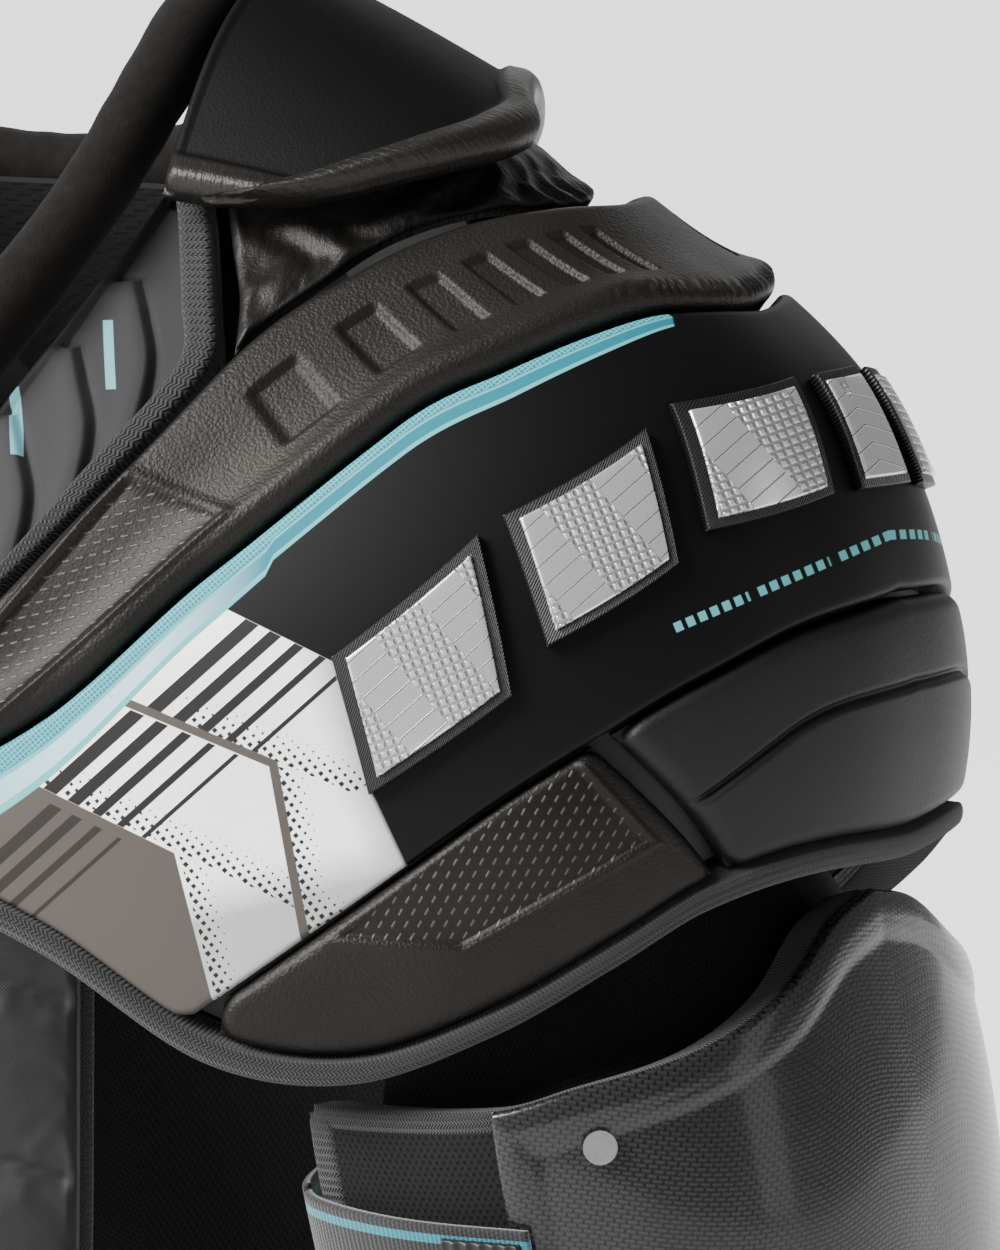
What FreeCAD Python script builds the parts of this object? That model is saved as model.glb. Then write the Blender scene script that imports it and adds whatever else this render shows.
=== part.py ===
"""Ice hockey shoulder pads, senior medium, as an assembly of separate pieces.

Frame: +Z up, the wearer faces -Y, the wearer's left is +X.  The origin is the middle of the neck opening at
the height of the shoulder joints' tops, which is where the pads hang on the wearer.

Nearly every piece is a curved sheet of some thickness that follows one of three body forms:
  the shoulder form, a wide dome over both shoulders, which carries the caps and the upper chest;
  the torso form, which carries the chest, belly and back;
  the arm form, a leaning tube, which carries the upper-arm guards.
A form is a stack of rounded rings.  A piece is the space between two depths over a four-sided region.
"""

import FreeCAD
import Part
import math
import os

Vector = FreeCAD.Vector
OUT = "parts"

# ---------------------------------------------------------------- driving dimensions, millimetres and degrees
DIMENSIONS = {
    # overall forms
    "cap_half_width": 287,
    "cap_half_depth": 141,
    "torso_half_width": 142,
    "torso_half_depth": 100,
    "arm_half_depth": 103,
    # layer depths below the cap's outer face
    "cover_thick": 8.6,
    "shell_top": 9.2,
    "shell_thick": 2.0,
    "lining_top": 11.7,
    "lining_thick": 3.8,
    "seam_gap": 0.7,
    "plate_recess": 1.2,
    "binding_width": 6,
    "badge_height": 3.2,
    # upper chest, yoke and collar
    "upper_pad_top": 6,
    "upper_pad_thick": 11,
    "yoke_top": 19,
    "yoke_thick": 5,
    "gusset_top": 7,
    "gusset_thick": 4,
    "collar_radius": 9,
    "epaulet_gap": 1.2,
    "epaulet_thick": 7,
    # torso layers above the torso form
    "liner_thick": 3,
    "pad_rise": 3.4,
    "pad_thick": 9.6,
    "plate_rise": 13.8,
    "plate_thick": 3.4,
    "vest_bottom": -372,
    "flap_top": -383,
    "flap_bottom": -446,
    # upper-arm guard
    "guard_thick": 3,
    "guard_pad_thick": 10,
    "guard_bottom": -322,
    "cuff_rise": 34,
    "cuff_overlap": 16,
    "cuff_lean": 16,
    "cuff_thick": 4,
    "arm_strap_height": -262,
    "arm_strap_width": 32,
    "arm_strap_thick": 2.2,
    # side straps and their rings
    "side_strap_height": -348,
    "side_strap_width": 36,
    "side_strap_thick": 2.4,
    "ring_wire": 2,
    "eye_wall": 1.4,
    "eye_clearance": 0.3,
    "webbing_thick": 1.4,
    # rivets and the hanging loop
    "rivet_radius": 4,
    "rivet_height": 1.8,
    "rivet_gap": 0.05,
    "loop_width": 20,
    "loop_thick": 1.6,
    "loop_span": 56,
    "loop_rise": 15,
}

doc = FreeCAD.newDocument("HockeyShoulderPads")
sheet = doc.addObject("Spreadsheet::Sheet", "Dimensions")
for row, (alias, value) in enumerate(DIMENSIONS.items(), start=1):
    sheet.set(f"A{row}", alias)
    sheet.set(f"B{row}", str(value))
    sheet.setAlias(f"B{row}", alias)
doc.recompute()


def size(alias):
    """A driving dimension, read from the sheet."""
    return float(sheet.get(alias))


# ---------------------------------------------------------------- curves and forms
def smooth(points):
    """A smooth curve y(x) through hand-chosen points, flat beyond its ends."""

    def slope(i):
        lo, hi = max(i - 1, 0), min(i + 1, len(points) - 1)
        return (points[hi][1] - points[lo][1]) / (points[hi][0] - points[lo][0])

    def at(x):
        if x <= points[0][0]:
            return points[0][1]
        if x >= points[-1][0]:
            return points[-1][1]
        i = max(k for k in range(len(points) - 1) if points[k][0] <= x)
        (x0, y0), (x1, y1) = points[i], points[i + 1]
        span = x1 - x0
        k = (x - x0) / span
        k2, k3 = k * k, k * k * k
        start = (2 * k3 - 3 * k2 + 1) * y0 + (k3 - 2 * k2 + k) * span * slope(i)
        return start + (3 * k2 - 2 * k3) * y1 + (k3 - k2) * span * slope(i + 1)

    return at


class Form:
    """A stack of rounded rings: at each height a half-width, a half-depth and the ring's middle in X."""

    def __init__(self, rows, power, half_width, half_depth, inside):
        rows = sorted(rows)
        self.width = smooth([(z, half_width * a) for z, a, b, c in rows])
        self.depth = smooth([(z, half_depth * b) for z, a, b, c in rows])
        self.middle = smooth([(z, c) for z, a, b, c in rows])
        self.top, self.bottom = rows[-1][0], rows[0][0]
        self.power = power
        self.inside = inside

    def around(self, angle, z):
        """The point at an angle round the ring: 0 points along +X, -90 to the front, 90 to the back."""
        c, s = math.cos(math.radians(angle)), math.sin(math.radians(angle))
        reach = (abs(c) ** self.power + abs(s) ** self.power) ** (-1 / self.power)
        return Vector(self.middle(z) + self.width(z) * c * reach, self.depth(z) * s * reach, z)

    def facing(self, side):
        """The front (side -1) or back (side 1) of the form, by X and height."""

        def at(x, z):
            share = min(1.0, abs((x - self.middle(z)) / self.width(z)))
            return Vector(x, side * self.depth(z) * (1 - share**self.power) ** (1 / self.power), z)

        return at

    def arched(self, centre_z):
        """The form as an arch over the shoulder, by X and the angle from the top: -90 is the front."""

        def beyond(x, y, z):
            share = abs(x / self.width(z)) ** self.power + abs(y / self.depth(z)) ** self.power
            return z > self.top or share > 1

        def at(x, angle):
            s, c = math.sin(math.radians(angle)), math.cos(math.radians(angle))
            low, high = 0.0, 260.0
            for _ in range(40):
                middle = (low + high) / 2
                if beyond(x, middle * s, centre_z + middle * c):
                    high = middle
                else:
                    low = middle
            return Vector(x, low * s, centre_z + low * c)

        return at

    def raised(self, surface, u, v, height):
        """The point of a surface at u, v, moved along its outward normal."""
        step = 0.4
        p = surface(u, v)
        along_u = surface(u + step, v) - surface(u - step, v)
        along_v = surface(u, v + step) - surface(u, v - step)
        normal = along_u.cross(along_v)
        normal.normalize()
        if normal.dot(p - self.inside(p)) < 0:
            normal = normal * -1
        return p + normal * height


# Height, half-width and half-depth as shares of the widest ring, and the ring's middle.
shoulder = Form(
    [
        (46, 0.279, 0.10, 0),
        (38, 0.348, 0.18, 0),
        (20, 0.488, 0.31, 0),
        (-3, 0.645, 0.42, 0),
        (-20, 0.742, 0.50, 0),
        (-34, 0.829, 0.59, 0),
        (-56, 0.913, 0.72, 0),
        (-78, 0.958, 0.82, 0),
        (-108, 0.990, 0.915, 0),
        (-140, 1.000, 0.972, 0),
        (-172, 0.990, 0.993, 0),
        (-215, 0.962, 0.993, 0),
        (-260, 0.913, 0.980, 0),
    ],
    2.4,
    size("cap_half_width"),
    size("cap_half_depth"),
    lambda p: Vector(150, 0, -150),
)
torso = Form(
    [
        (-40, 0.88, 0.80, 0),
        (-80, 0.98, 0.90, 0),
        (-130, 1.03, 0.97, 0),
        (-200, 1.06, 1.01, 0),
        (-280, 1.04, 1.01, 0),
        (-360, 1.00, 0.98, 0),
        (-450, 0.98, 0.96, 0),
    ],
    2.6,
    size("torso_half_width"),
    size("torso_half_depth"),
    lambda p: Vector(0, 0, p.z),
)
arm = Form(
    [
        (-150, 75, 0.87, 190),
        (-180, 80, 0.94, 196),
        (-236, 85, 1.00, 206),
        (-300, 81, 0.94, 219),
        (-350, 74, 0.85, 229),
    ],
    2.3,
    1.0,
    size("arm_half_depth"),
    lambda p: Vector(210, 0, p.z),
)
chest_face, back_face = torso.facing(-1), torso.facing(1)
upper_front, upper_back = shoulder.facing(-1), shoulder.facing(1)
arch = shoulder.arched(-110)


# ---------------------------------------------------------------- making solids
def patch(rows):
    surface = Part.BSplineSurface()
    surface.interpolate(rows)
    return surface.toShape()


def sheet_solid(form, surface, region, low, high, grid, side):
    """The closed solid between two heights over a four-sided region of a form.

    region(s, w) gives the surface's own u, v for s and w from 0 to 1.  low and high are heights above the
    form, as numbers or as functions of s and w.  side -1 mirrors the piece to the wearer's right.
    """

    def level(height, s, w):
        return height(s, w) if callable(height) else height

    def rows(height):
        made = []
        for i in range(grid[0] + 1):
            s = i / grid[0]
            line = []
            for j in range(grid[1] + 1):
                w = j / grid[1]
                u, v = region(s, w)
                p = form.raised(surface, u, v, level(height, s, w))
                line.append(Vector(side * p.x, p.y, p.z))
            made.append(line)
        return made

    outer, inner = patch(rows(high)), patch(rows(low))
    walls = [Part.makeRuledSurface(a, b) for a, b in zip(outer.Edges, inner.Edges)]
    skin = Part.Compound([outer, inner, *walls])
    skin.sewShape()
    solid = Part.Solid(skin.Shells[0])
    if solid.Volume < 0:
        solid.reverse()
    return solid


def add(label, shape):
    """A sub-part whose shape is worked out above from the sheet's sizes."""
    made = doc.addObject("Part::Feature", label)
    made.Label = label
    made.Shape = shape
    subparts.append(made)
    return made


subparts = []
SIDES = {"left": 1, "right": -1}


def add_pair(name, form, surface, region, low, high, grid=(12, 6)):
    """The same piece on the wearer's left and, mirrored, on the right."""
    for word, side in SIDES.items():
        add(f"{word}_{name}", sheet_solid(form, surface, region, low, high, grid, side))


def add_middle(name, form, surface, region, low, high, grid=(12, 6)):
    add(name, sheet_solid(form, surface, region, low, high, grid, 1))


def between(left, right, top, bottom):
    """A region whose top and bottom edges are curves over u and whose side edges run from top to bottom.

    left and right are u values, or pairs of them for the top and the bottom end of a slanting edge."""

    def edge(value, w):
        return value[0] + (value[1] - value[0]) * w if isinstance(value, tuple) else value

    def region(s, w):
        u = edge(left, w) + (edge(right, w) - edge(left, w)) * s
        return u, top(u) + (bottom(u) - top(u)) * w

    return region


def even(curve):
    """The same curve either side of zero."""
    return lambda u: curve(abs(u))


def shifted(curve, by):
    return lambda u: curve(u) + by


# ---------------------------------------------------------------- shoulder caps
# Heights of the cap's edges and seams over the angle from the outermost line, alike to front and back.
band_top = even(
    smooth([(0, -16), (20, -16), (35, -20), (47, -30), (56, -47), (64, -81), (70, -112), (76, -136)])
)
plate_top = even(
    smooth([(0, -39), (20, -38), (30, -42), (39, -50), (47, -62), (58, -98), (66, -133), (76, -160)])
)
plate_foot = even(smooth([(0, -107), (17, -111), (28, -122), (35, -134), (41, -148), (47, -167), (57, -202)]))
rim = even(
    smooth(
        [(0, -171), (16, -170), (26, -176), (33, -189), (40, -204), (48, -216), (56, -212), (65, -188), (76, -167)]
    )
)
CAP_END = 76  # where the cap's wings end, front and back
PLATE_END = 70
PANEL_END = 55.5
SEAM = (35, 24.5)  # the slanting seams between the lower panels, at their top and bottom


def lower_edge(curve):
    """A panel's lower edge: its own curve, or the binding's upper edge where the rim cuts it off."""
    return lambda u: max(curve(u), rim(u) + size("binding_width") + size("seam_gap"))


def cap_piece(name, region, low, high, grid=(12, 6)):
    add_pair(name, shoulder, shoulder.around, region, low, high, grid)


def make_caps():
    gap = size("seam_gap")
    cover_low = -size("cover_thick")
    foot = lower_edge(lambda u: -900.0)
    band = between(-CAP_END, CAP_END, band_top, shifted(plate_top, gap))
    cap_piece("cap_band", band, cover_low, 0, (48, 5))
    plate_bottom = lower_edge(shifted(plate_foot, gap))
    plate_region = between(-PLATE_END, PLATE_END, shifted(plate_top, -gap), plate_bottom)
    cap_piece("cap_plate", plate_region, cover_low, -size("plate_recess"), (44, 6))
    front = between(-PANEL_END, (-SEAM[0] - 1, -SEAM[1] - 1), shifted(plate_foot, -gap), foot)
    back = between((SEAM[0] + 1, SEAM[1] + 1), PANEL_END, shifted(plate_foot, -gap), foot)
    outer = between((-SEAM[0] + 1, -SEAM[1] + 1), (SEAM[0] - 1, SEAM[1] - 1), shifted(plate_foot, -gap), foot)
    cap_piece("cap_front_panel", front, cover_low, 0)
    cap_piece("cap_outer_panel", outer, cover_low, 0)
    cap_piece("cap_back_panel", back, cover_low, 0)
    shell_low = -size("shell_top") - size("shell_thick")
    shell = between(-66, 66, shifted(band_top, -6), shifted(rim, 9))
    cap_piece("cap_shell", shell, shell_low, -size("shell_top"), (40, 6))
    lining = between(-74, 74, shifted(band_top, -3), shifted(rim, size("binding_width") + 0.6))
    lining_low = -size("lining_top") - size("lining_thick")
    cap_piece("cap_lining", lining, lining_low, -size("lining_top"), (44, 6))
    edge = between(-CAP_END, CAP_END, shifted(rim, size("binding_width") - gap), rim)
    cap_piece("cap_binding", edge, lining_low, 0.4, (48, 1))


# Raised tiles in a row along the plate: the angle and height of each tile's four corners, the two upper
# ones first.
BADGE_TILES = [
    ((-51, -116), (-42.8, -88), (-48.6, -147), (-40.9, -124)),
    ((-41.2, -84), (-29.8, -65), (-38.8, -113), (-29.2, -95)),
    ((-26.8, -60), (-9, -56), (-26.4, -88), (-10.5, -82)),
    ((-4, -56), (8, -56), (-5, -82), (7, -83)),
    ((12, -57), (23, -60), (11, -84), (22, -88)),
]


def make_badges():
    low = -size("plate_recess") + 0.15
    for word, side in SIDES.items():
        tiles = []
        for a, b, c, d in BADGE_TILES:

            def region(s, w, a=a, b=b, c=c, d=d):
                upper = [a[k] + (b[k] - a[k]) * s for k in (0, 1)]
                lower = [c[k] + (d[k] - c[k]) * s for k in (0, 1)]
                return [upper[k] + (lower[k] - upper[k]) * w for k in (0, 1)]

            high = low + size("badge_height")
            tiles.append(sheet_solid(shoulder, shoulder.around, region, low, high, (5, 4), side))
        add(f"{word}_cap_badge", Part.Compound(tiles))


# ---------------------------------------------------------------- yoke, gussets, epaulets and upper pads
def make_shoulder_tops():
    def yoke(s, w):
        angle = -88 + 176 * s
        narrowing = (angle / 88) ** 2
        inner, outer = 106 - 42 * narrowing, 154 - 34 * narrowing
        return inner + (outer - inner) * w, angle

    yoke_low = -size("yoke_top") - size("yoke_thick")
    add_pair("yoke", shoulder, arch, yoke, yoke_low, -size("yoke_top"), (16, 4))

    gusset_high = smooth([(0, 8), (40, 4), (56, 2)])
    gusset = between((-51.5, -57), (51.5, 57), even(gusset_high), shifted(band_top, 5))
    gusset_low = -size("gusset_top") - size("gusset_thick")
    add_pair("gusset", shoulder, shoulder.around, gusset, gusset_low, -size("gusset_top"), (18, 4))

    # The epaulet lies over the top of the shoulder; its free edge is widest just in front of the middle.
    front = [(-33, 128), (-31, 145), (-28, 157), (-24, 167), (-19, 177), (-13, 185), (-8, 187), (-4, 186)]
    back = [(0, 180), (8, 171), (16, 164), (24, 155), (31, 143), (33, 128)]
    free_edge = smooth(front + back)
    neck_edge = even(smooth([(0, 109), (33, 115)]))

    def epaulet(s, w):
        angle = -33 + 66 * s
        return neck_edge(angle) + (free_edge(angle) - neck_edge(angle)) * w, angle

    low = size("epaulet_gap")
    add_pair("epaulet", shoulder, arch, epaulet, low, low + size("epaulet_thick"), (14, 6))


# The upper pads' outer edge runs down beside the gusset to a corner and then back along the cap's band.
OUTER_EDGE = [
    (0, 116, -3),
    (0.12, 125, -19),
    (0.25, 134, -34),
    (0.36, 140, -49),
    (0.5, 127, -72),
    (0.75, 104, -101),
    (1, 77, -127),
]
FRONT_NECK = [
    (0, 112, -3),
    (0.12, 105, -20),
    (0.25, 99, -36),
    (0.4, 92, -53),
    (0.6, 75, -90),
    (0.8, 50, -126),
    (1, 21, -155),
]
BACK_NECK = [
    (0, 112, -3),
    (0.12, 97, -20),
    (0.25, 74, -33),
    (0.4, 46, -42),
    (0.55, 22, -58),
    (0.75, 13, -95),
    (1, 11, -150),
]


def make_upper_pads():
    def path(points):
        across = smooth([(k, x) for k, x, z in points])
        height = smooth([(k, z) for k, x, z in points])
        return lambda w: (across(w), height(w))

    def between_paths(inner, outer):
        def region(s, w):
            (x0, z0), (x1, z1) = inner(w), outer(w)
            return x0 + (x1 - x0) * s, z0 + (z1 - z0) * s

        return region

    high = -size("upper_pad_top")
    low = high - size("upper_pad_thick")
    outer = path(OUTER_EDGE)
    chest = between_paths(path(FRONT_NECK), outer)
    add_pair("upper_chest_pad", shoulder, upper_front, chest, low, high, (6, 16))
    back = between_paths(path(BACK_NECK), outer)
    add_pair("upper_back_pad", shoulder, upper_back, back, low, high, (6, 16))


def make_collar():
    """A padded roll round the neck opening, its two ends side by side at the bottom of the V."""
    half = [
        (6, -128, -152),
        (24, -126, -137),
        (47, -121, -112),
        (66, -109, -82),
        (78, -94, -55),
        (87, -77, -34),
        (94, -60, -14),
        (98, -41, 8),
        (98, -20, 25),
        (97, 2, 31),
        (93, 26, 22),
        (80, 47, 4),
        (50, 62, -14),
    ]
    centres = [Vector(*p) for p in half]
    back = Vector(0, 67, -20)
    whole = centres + [back] + [Vector(-p.x, p.y, p.z) for p in reversed(centres)]
    spine = Part.BSplineCurve()
    spine.interpolate(whole)
    first, last = spine.FirstParameter, spine.LastParameter
    rings = []
    count = 4 * len(half)
    for i in range(count + 1):
        t = first + (last - first) * i / count
        ring = Part.Circle(spine.value(t), spine.tangent(t)[0], size("collar_radius"))
        rings.append(Part.Wire([ring.toShape()]))
    add("collar", Part.makeLoft(rings, True, False))


# ---------------------------------------------------------------- chest, belly and back
CHEST_WIDTH = smooth([(-446, 78), (-372, 98), (-290, 104), (-200, 106), (-90, 104)])


def torso_region(inner, top, bottom, margin=0.0):
    """From X = inner to the vest's side edge, between two edge curves over the share of the width."""

    def region(s, w):
        z = top(s) + (bottom(s) - top(s)) * w
        outer = CHEST_WIDTH(z) - margin
        return inner + (outer - inner) * s, z

    return region


def whole_width(top, bottom, margin):
    def region(s, w):
        across = 2 * s - 1
        z = top(abs(across)) + (bottom(abs(across)) - top(abs(across))) * w
        return across * (CHEST_WIDTH(z) - margin), z

    return region


def level(z):
    return lambda share: z


def make_torso():
    bottom = size("vest_bottom")
    liner = size("liner_thick")
    pad_low, pad_high = size("pad_rise"), size("pad_rise") + size("pad_thick")
    liner_top = smooth([(0, -128), (0.4, -112), (0.8, -96), (1, -94)])
    for name, face in (("chest", chest_face), ("back", back_face)):
        add_middle(f"{name}_liner", torso, face, whole_width(liner_top, level(bottom), 0), 0, liner, (16, 8))
    pad_top = smooth([(0, -142), (0.5, -126), (1, -118)])
    pads = torso_region(5, pad_top, level(bottom + 2), 2)
    add_pair("chest_pad", torso, chest_face, pads, pad_low, pad_high, (8, 10))
    add_pair("back_pad", torso, back_face, pads, pad_low, pad_high, (8, 10))
    flap = whole_width(level(size("flap_top")), level(size("flap_bottom")), 3)
    add_middle("belly_flap", torso, chest_face, flap, 1, pad_high - 1, (12, 4))
    add_middle("kidney_flap", torso, back_face, flap, 1, pad_high - 1, (12, 4))


STERNUM = [(-168, 30), (-190, 44), (-250, 40), (-300, 18)]
SPINE = [(-160, 26), (-200, 34), (-300, 30), (-334, 22)]


def make_plates():
    """The hard guards over the breastbone and the spine, each held by four rivets."""
    low = size("plate_rise")
    high = low + size("plate_thick")
    for name, face, shape in (("sternum", chest_face, STERNUM), ("spine", back_face, SPINE)):
        half = smooth(sorted(shape))
        top, bottom = shape[0][0], shape[-1][0]

        def region(s, w, half=half, top=top, bottom=bottom):
            z = top + (bottom - top) * w
            return (2 * s - 1) * half(z), z

        add_middle(f"{name}_plate", torso, face, region, low, high, (8, 8))
        places = [(sx * (half(z) - 9), z) for z in (top - 12, bottom + 14) for sx in (-1, 1)]
        add_rivets(f"{name}_rivets", torso, face, places, high + size("rivet_gap"), 1)


def add_rivets(label, form, surface, places, height, side):
    """Round rivet heads, each a Part::Cylinder that stands on the form at a height."""
    heads = []
    for number, (u, v) in enumerate(places, start=1):
        foot = form.raised(surface, u, v, height)
        axis = form.raised(surface, u, v, height + 1) - foot
        head = doc.addObject("Part::Cylinder", f"{label}_{number}")
        head.setExpression("Radius", "Dimensions.rivet_radius")
        head.setExpression("Height", "Dimensions.rivet_height")
        turn = FreeCAD.Rotation(Vector(0, 0, 1), Vector(side * axis.x, axis.y, axis.z))
        head.Placement = FreeCAD.Placement(Vector(side * foot.x, foot.y, foot.z), turn)
        heads.append(head)
    group = doc.addObject("Part::Compound", label)
    group.Label = label
    group.Links = heads
    subparts.append(group)


# ---------------------------------------------------------------- upper-arm guards
guard_top = even(smooth([(0, -179), (12, -184), (25, -197), (40, -207), (60, -215), (74, -221), (112, -226)]))
GUARD_END = 74
GUARD_PAD_END = 110


def make_arm_guards():
    foot = size("guard_bottom")
    bottom = even(smooth([(0, foot), (60, foot + 6), (110, foot + 22)]))
    thick = size("guard_thick")
    plate = between(-GUARD_END, GUARD_END, guard_top, shifted(bottom, 4))
    add_pair("arm_guard", arm, arm.around, plate, -thick, 0, (18, 6))
    pad_high = -thick - 0.4
    pad_low = pad_high - size("guard_pad_thick")
    pad = between(-GUARD_PAD_END, GUARD_PAD_END, shifted(guard_top, -2), bottom)
    add_pair("arm_pad", arm, arm.around, pad, pad_low, pad_high, (22, 6))
    # The cuff hangs the guard inside the cap, where it is clear of the cap's lining.
    cuff = between(-104, 104, shifted(guard_top, size("cuff_rise")), shifted(guard_top, -size("cuff_overlap")))
    outside = pad_low - 0.4

    def leaning(thickness):
        return lambda s, w: outside - size("cuff_lean") * (1 - w) - thickness

    add_pair("arm_cuff", arm, arm.around, cuff, leaning(size("cuff_thick")), leaning(0), (16, 6))
    for word, side in SIDES.items():
        places = [(angle, guard_top(angle) - 14) for angle in (-58, 58)]
        places += [(angle, bottom(angle) + 16) for angle in (-58, 58)]
        add_rivets(f"{word}_guard_rivets", arm, arm.around, places, size("rivet_gap"), side)


# The strap's outer face, seen from above: X and Y from the middle of the arm's ring.  It starts behind the
# arm, passes between arm and body, and ends on the guard's front.
STRAP_ACROSS = [
    (0, -35),
    (0.08, -44),
    (0.2, -50),
    (0.35, -52),
    (0.5, -50),
    (0.62, -42),
    (0.7, -30),
    (0.82, -2),
    (1, 33),
]
STRAP_FOLD = 66  # percent of the way along, where the strap's end peels from
STRAP_DEPTH = [
    (0, 91),
    (0.08, 78),
    (0.2, 46),
    (0.35, 0),
    (0.5, -46),
    (0.62, -81),
    (0.7, -98),
    (0.82, -107),
    (1, -103),
]


def make_arm_straps():
    """An elastic strap closes each guard round the arm; its end peels off the guard's front."""
    middle, half = size("arm_strap_height"), size("arm_strap_width") / 2
    thick = size("arm_strap_thick")
    across, depth = smooth(STRAP_ACROSS), smooth(STRAP_DEPTH)

    def path(share, z):
        deep = depth(share / 100) * arm.depth(z) / arm.depth(middle)
        return Vector(arm.middle(z) + across(share / 100), deep, z)

    def length(start, end, reach):
        return lambda s, w: (start + (end - start) * s, middle + reach - 2 * reach * w)

    add_pair("arm_strap", arm, path, length(0.8, STRAP_FOLD - 0.4, half), -thick, 0, (24, 2))
    add_pair("arm_strap_end", arm, path, length(STRAP_FOLD + 0.4, 99, half - 1), -thick, 0, (16, 2))


# ---------------------------------------------------------------- side straps
# The wire ring on each side edge of the back: the angles round the torso of the bar that is sewn on and of
# the bar that the strap turns on.
RING_INNER, RING_OUTER = 52, 44


def bar_place(angle, side):
    """The foot of a ring's upright bar, beside the strap's lower edge."""
    height = size("pad_rise") + size("pad_thick") + size("ring_wire") + size("eye_wall") + 1
    z = size("side_strap_height") - size("side_strap_width") / 2
    p = torso.raised(torso.around, angle, size("side_strap_height"), height)
    return Vector(side * p.x, p.y, z)


def make_eye(angle, side):
    """The tube of webbing sewn round a ring's bar."""
    bore = size("ring_wire") + size("eye_clearance")
    tall = size("side_strap_width")
    foot = bar_place(angle, side)
    return Part.makeCylinder(bore + size("eye_wall"), tall, foot).cut(Part.makeCylinder(bore, tall, foot))


def make_side_straps():
    middle, half = size("side_strap_height"), size("side_strap_width") / 2
    thick = size("side_strap_thick")
    pad_high = size("pad_rise") + size("pad_thick")
    eye_top = pad_high + 2 * (size("ring_wire") + size("eye_wall")) + size("eye_clearance") + 1
    strap_rise = smooth([(0, eye_top - thick), (0.12, pad_high + 3), (1, pad_high + 2.2)])
    tab_rise = smooth([(0, pad_high + 0.3), (0.3, pad_high + 0.5), (1, eye_top - size("webbing_thick"))])

    def strip(start, end, rise, depth, grid, side):
        def region(s, w):
            return start + (end - start) * s, middle + half - 2 * half * w

        return sheet_solid(
            torso, torso.around, region, lambda s, w: rise(s), lambda s, w: rise(s) + depth, grid, side
        )

    tabs = []
    for word, side in SIDES.items():
        strap = strip(RING_OUTER - 1.4, -72, strap_rise, thick, (22, 2), side)
        add(f"{word}_side_strap", Part.Compound([strap, make_eye(RING_OUTER, side)]))
        tab = strip(68, RING_INNER + 1.2, tab_rise, size("webbing_thick"), (8, 2), side)
        tabs += [tab, make_eye(RING_INNER, side)]
    add("ring_tabs", Part.Compound(tabs))

    def patch_region(s, w):
        return 52 + 34 * s, middle + half + 2 - (2 * half + 4) * w

    hooks = [
        sheet_solid(torso, chest_face, patch_region, pad_high + 0.3, pad_high + 1.6, (5, 2), side)
        for side in SIDES.values()
    ]
    add("strap_patches", Part.Compound(hooks))


def make_rings():
    """A wire ring on each side of the back: two upright bars joined at top and foot, with round corners."""
    overhang = 3
    rings = []
    for word, side in SIDES.items():
        wires = []
        ends = [bar_place(angle, side) - Vector(0, 0, overhang) for angle in (RING_INNER, RING_OUTER)]
        tall = size("side_strap_width") + 2 * overhang
        rise = Vector(0, 0, tall)
        for number, (start, end) in enumerate(
            [
                (ends[0], ends[0] + rise),
                (ends[1], ends[1] + rise),
                (ends[0], ends[1]),
                (ends[0] + rise, ends[1] + rise),
            ]
        ):
            wire = doc.addObject("Part::Cylinder", f"{word}_ring_wire_{number}")
            wire.setExpression("Radius", "Dimensions.ring_wire")
            wire.Height = (end - start).Length
            wire.Placement = FreeCAD.Placement(start, FreeCAD.Rotation(Vector(0, 0, 1), end - start))
            wires.append(wire)
        for number, corner in enumerate([ends[0], ends[1], ends[0] + rise, ends[1] + rise]):
            ball = doc.addObject("Part::Sphere", f"{word}_ring_corner_{number}")
            ball.setExpression("Radius", "Dimensions.ring_wire")
            ball.Placement.Base = corner
            wires.append(ball)
        ring = doc.addObject("Part::MultiFuse", f"{word}_ring")
        ring.Shapes = wires
        rings.append(ring)
    group = doc.addObject("Part::Compound", "strap_rings")
    group.Label = "strap_rings"
    group.Links = rings
    subparts.append(group)


def make_hang_loop():
    """A loop of webbing behind the neck: a flat strip bowed out from the collar, drawn from above."""
    body = doc.addObject("PartDesign::Body", "hang_loop")
    body.Label = "hang_loop"
    plane = [f for f in body.Origin.OriginFeatures if f.Role == "XY_Plane"][0]
    sketch = body.newObject("Sketcher::SketchObject", "hang_loop_outline")
    sketch.AttachmentSupport = (plane, "")
    sketch.MapMode = "FlatFace"
    half, rise, thick = size("loop_span") / 2, size("loop_rise"), size("loop_thick")
    shoulder_x = half - 10

    def bow(offset):
        """Corner points of the strip's outer or inner edge."""
        return [
            Vector(-half, offset, 0),
            Vector(-shoulder_x, rise + offset - 3, 0),
            Vector(0, rise + offset, 0),
            Vector(shoulder_x, rise + offset - 3, 0),
            Vector(half, offset, 0),
        ]

    outer, inner = bow(thick), bow(0)
    corners = outer + list(reversed(inner))
    for a, b in zip(corners, corners[1:] + corners[:1]):
        sketch.addGeometry(Part.LineSegment(a, b), False)
    pad = body.newObject("PartDesign::Pad", "hang_loop_strip")
    pad.Profile = sketch
    pad.setExpression("Length", "Dimensions.loop_width")
    body.Tip = pad
    body.Placement.Base = Vector(0, 78, -38)
    subparts.append(body)


make_caps()
make_badges()
make_shoulder_tops()
make_upper_pads()
make_collar()
make_torso()
make_plates()
make_arm_guards()
make_arm_straps()
make_side_straps()
make_rings()
make_hang_loop()
doc.recompute()

for item in doc.Objects:
    if "Invalid" in item.State or "Error" in item.State:
        raise RuntimeError(f"{item.Label} failed to build")
for item in subparts:
    if item.Shape.isNull() or not item.Shape.isValid() or item.Shape.Volume <= 0:
        raise RuntimeError(f"{item.Label} has no valid solid")

os.makedirs(OUT, exist_ok=True)
for name in os.listdir(OUT):
    os.remove(os.path.join(OUT, name))
for item in subparts:
    item.Shape.exportStep(os.path.join(OUT, item.Label + ".step"))
print(len(subparts), "sub-parts")
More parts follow.
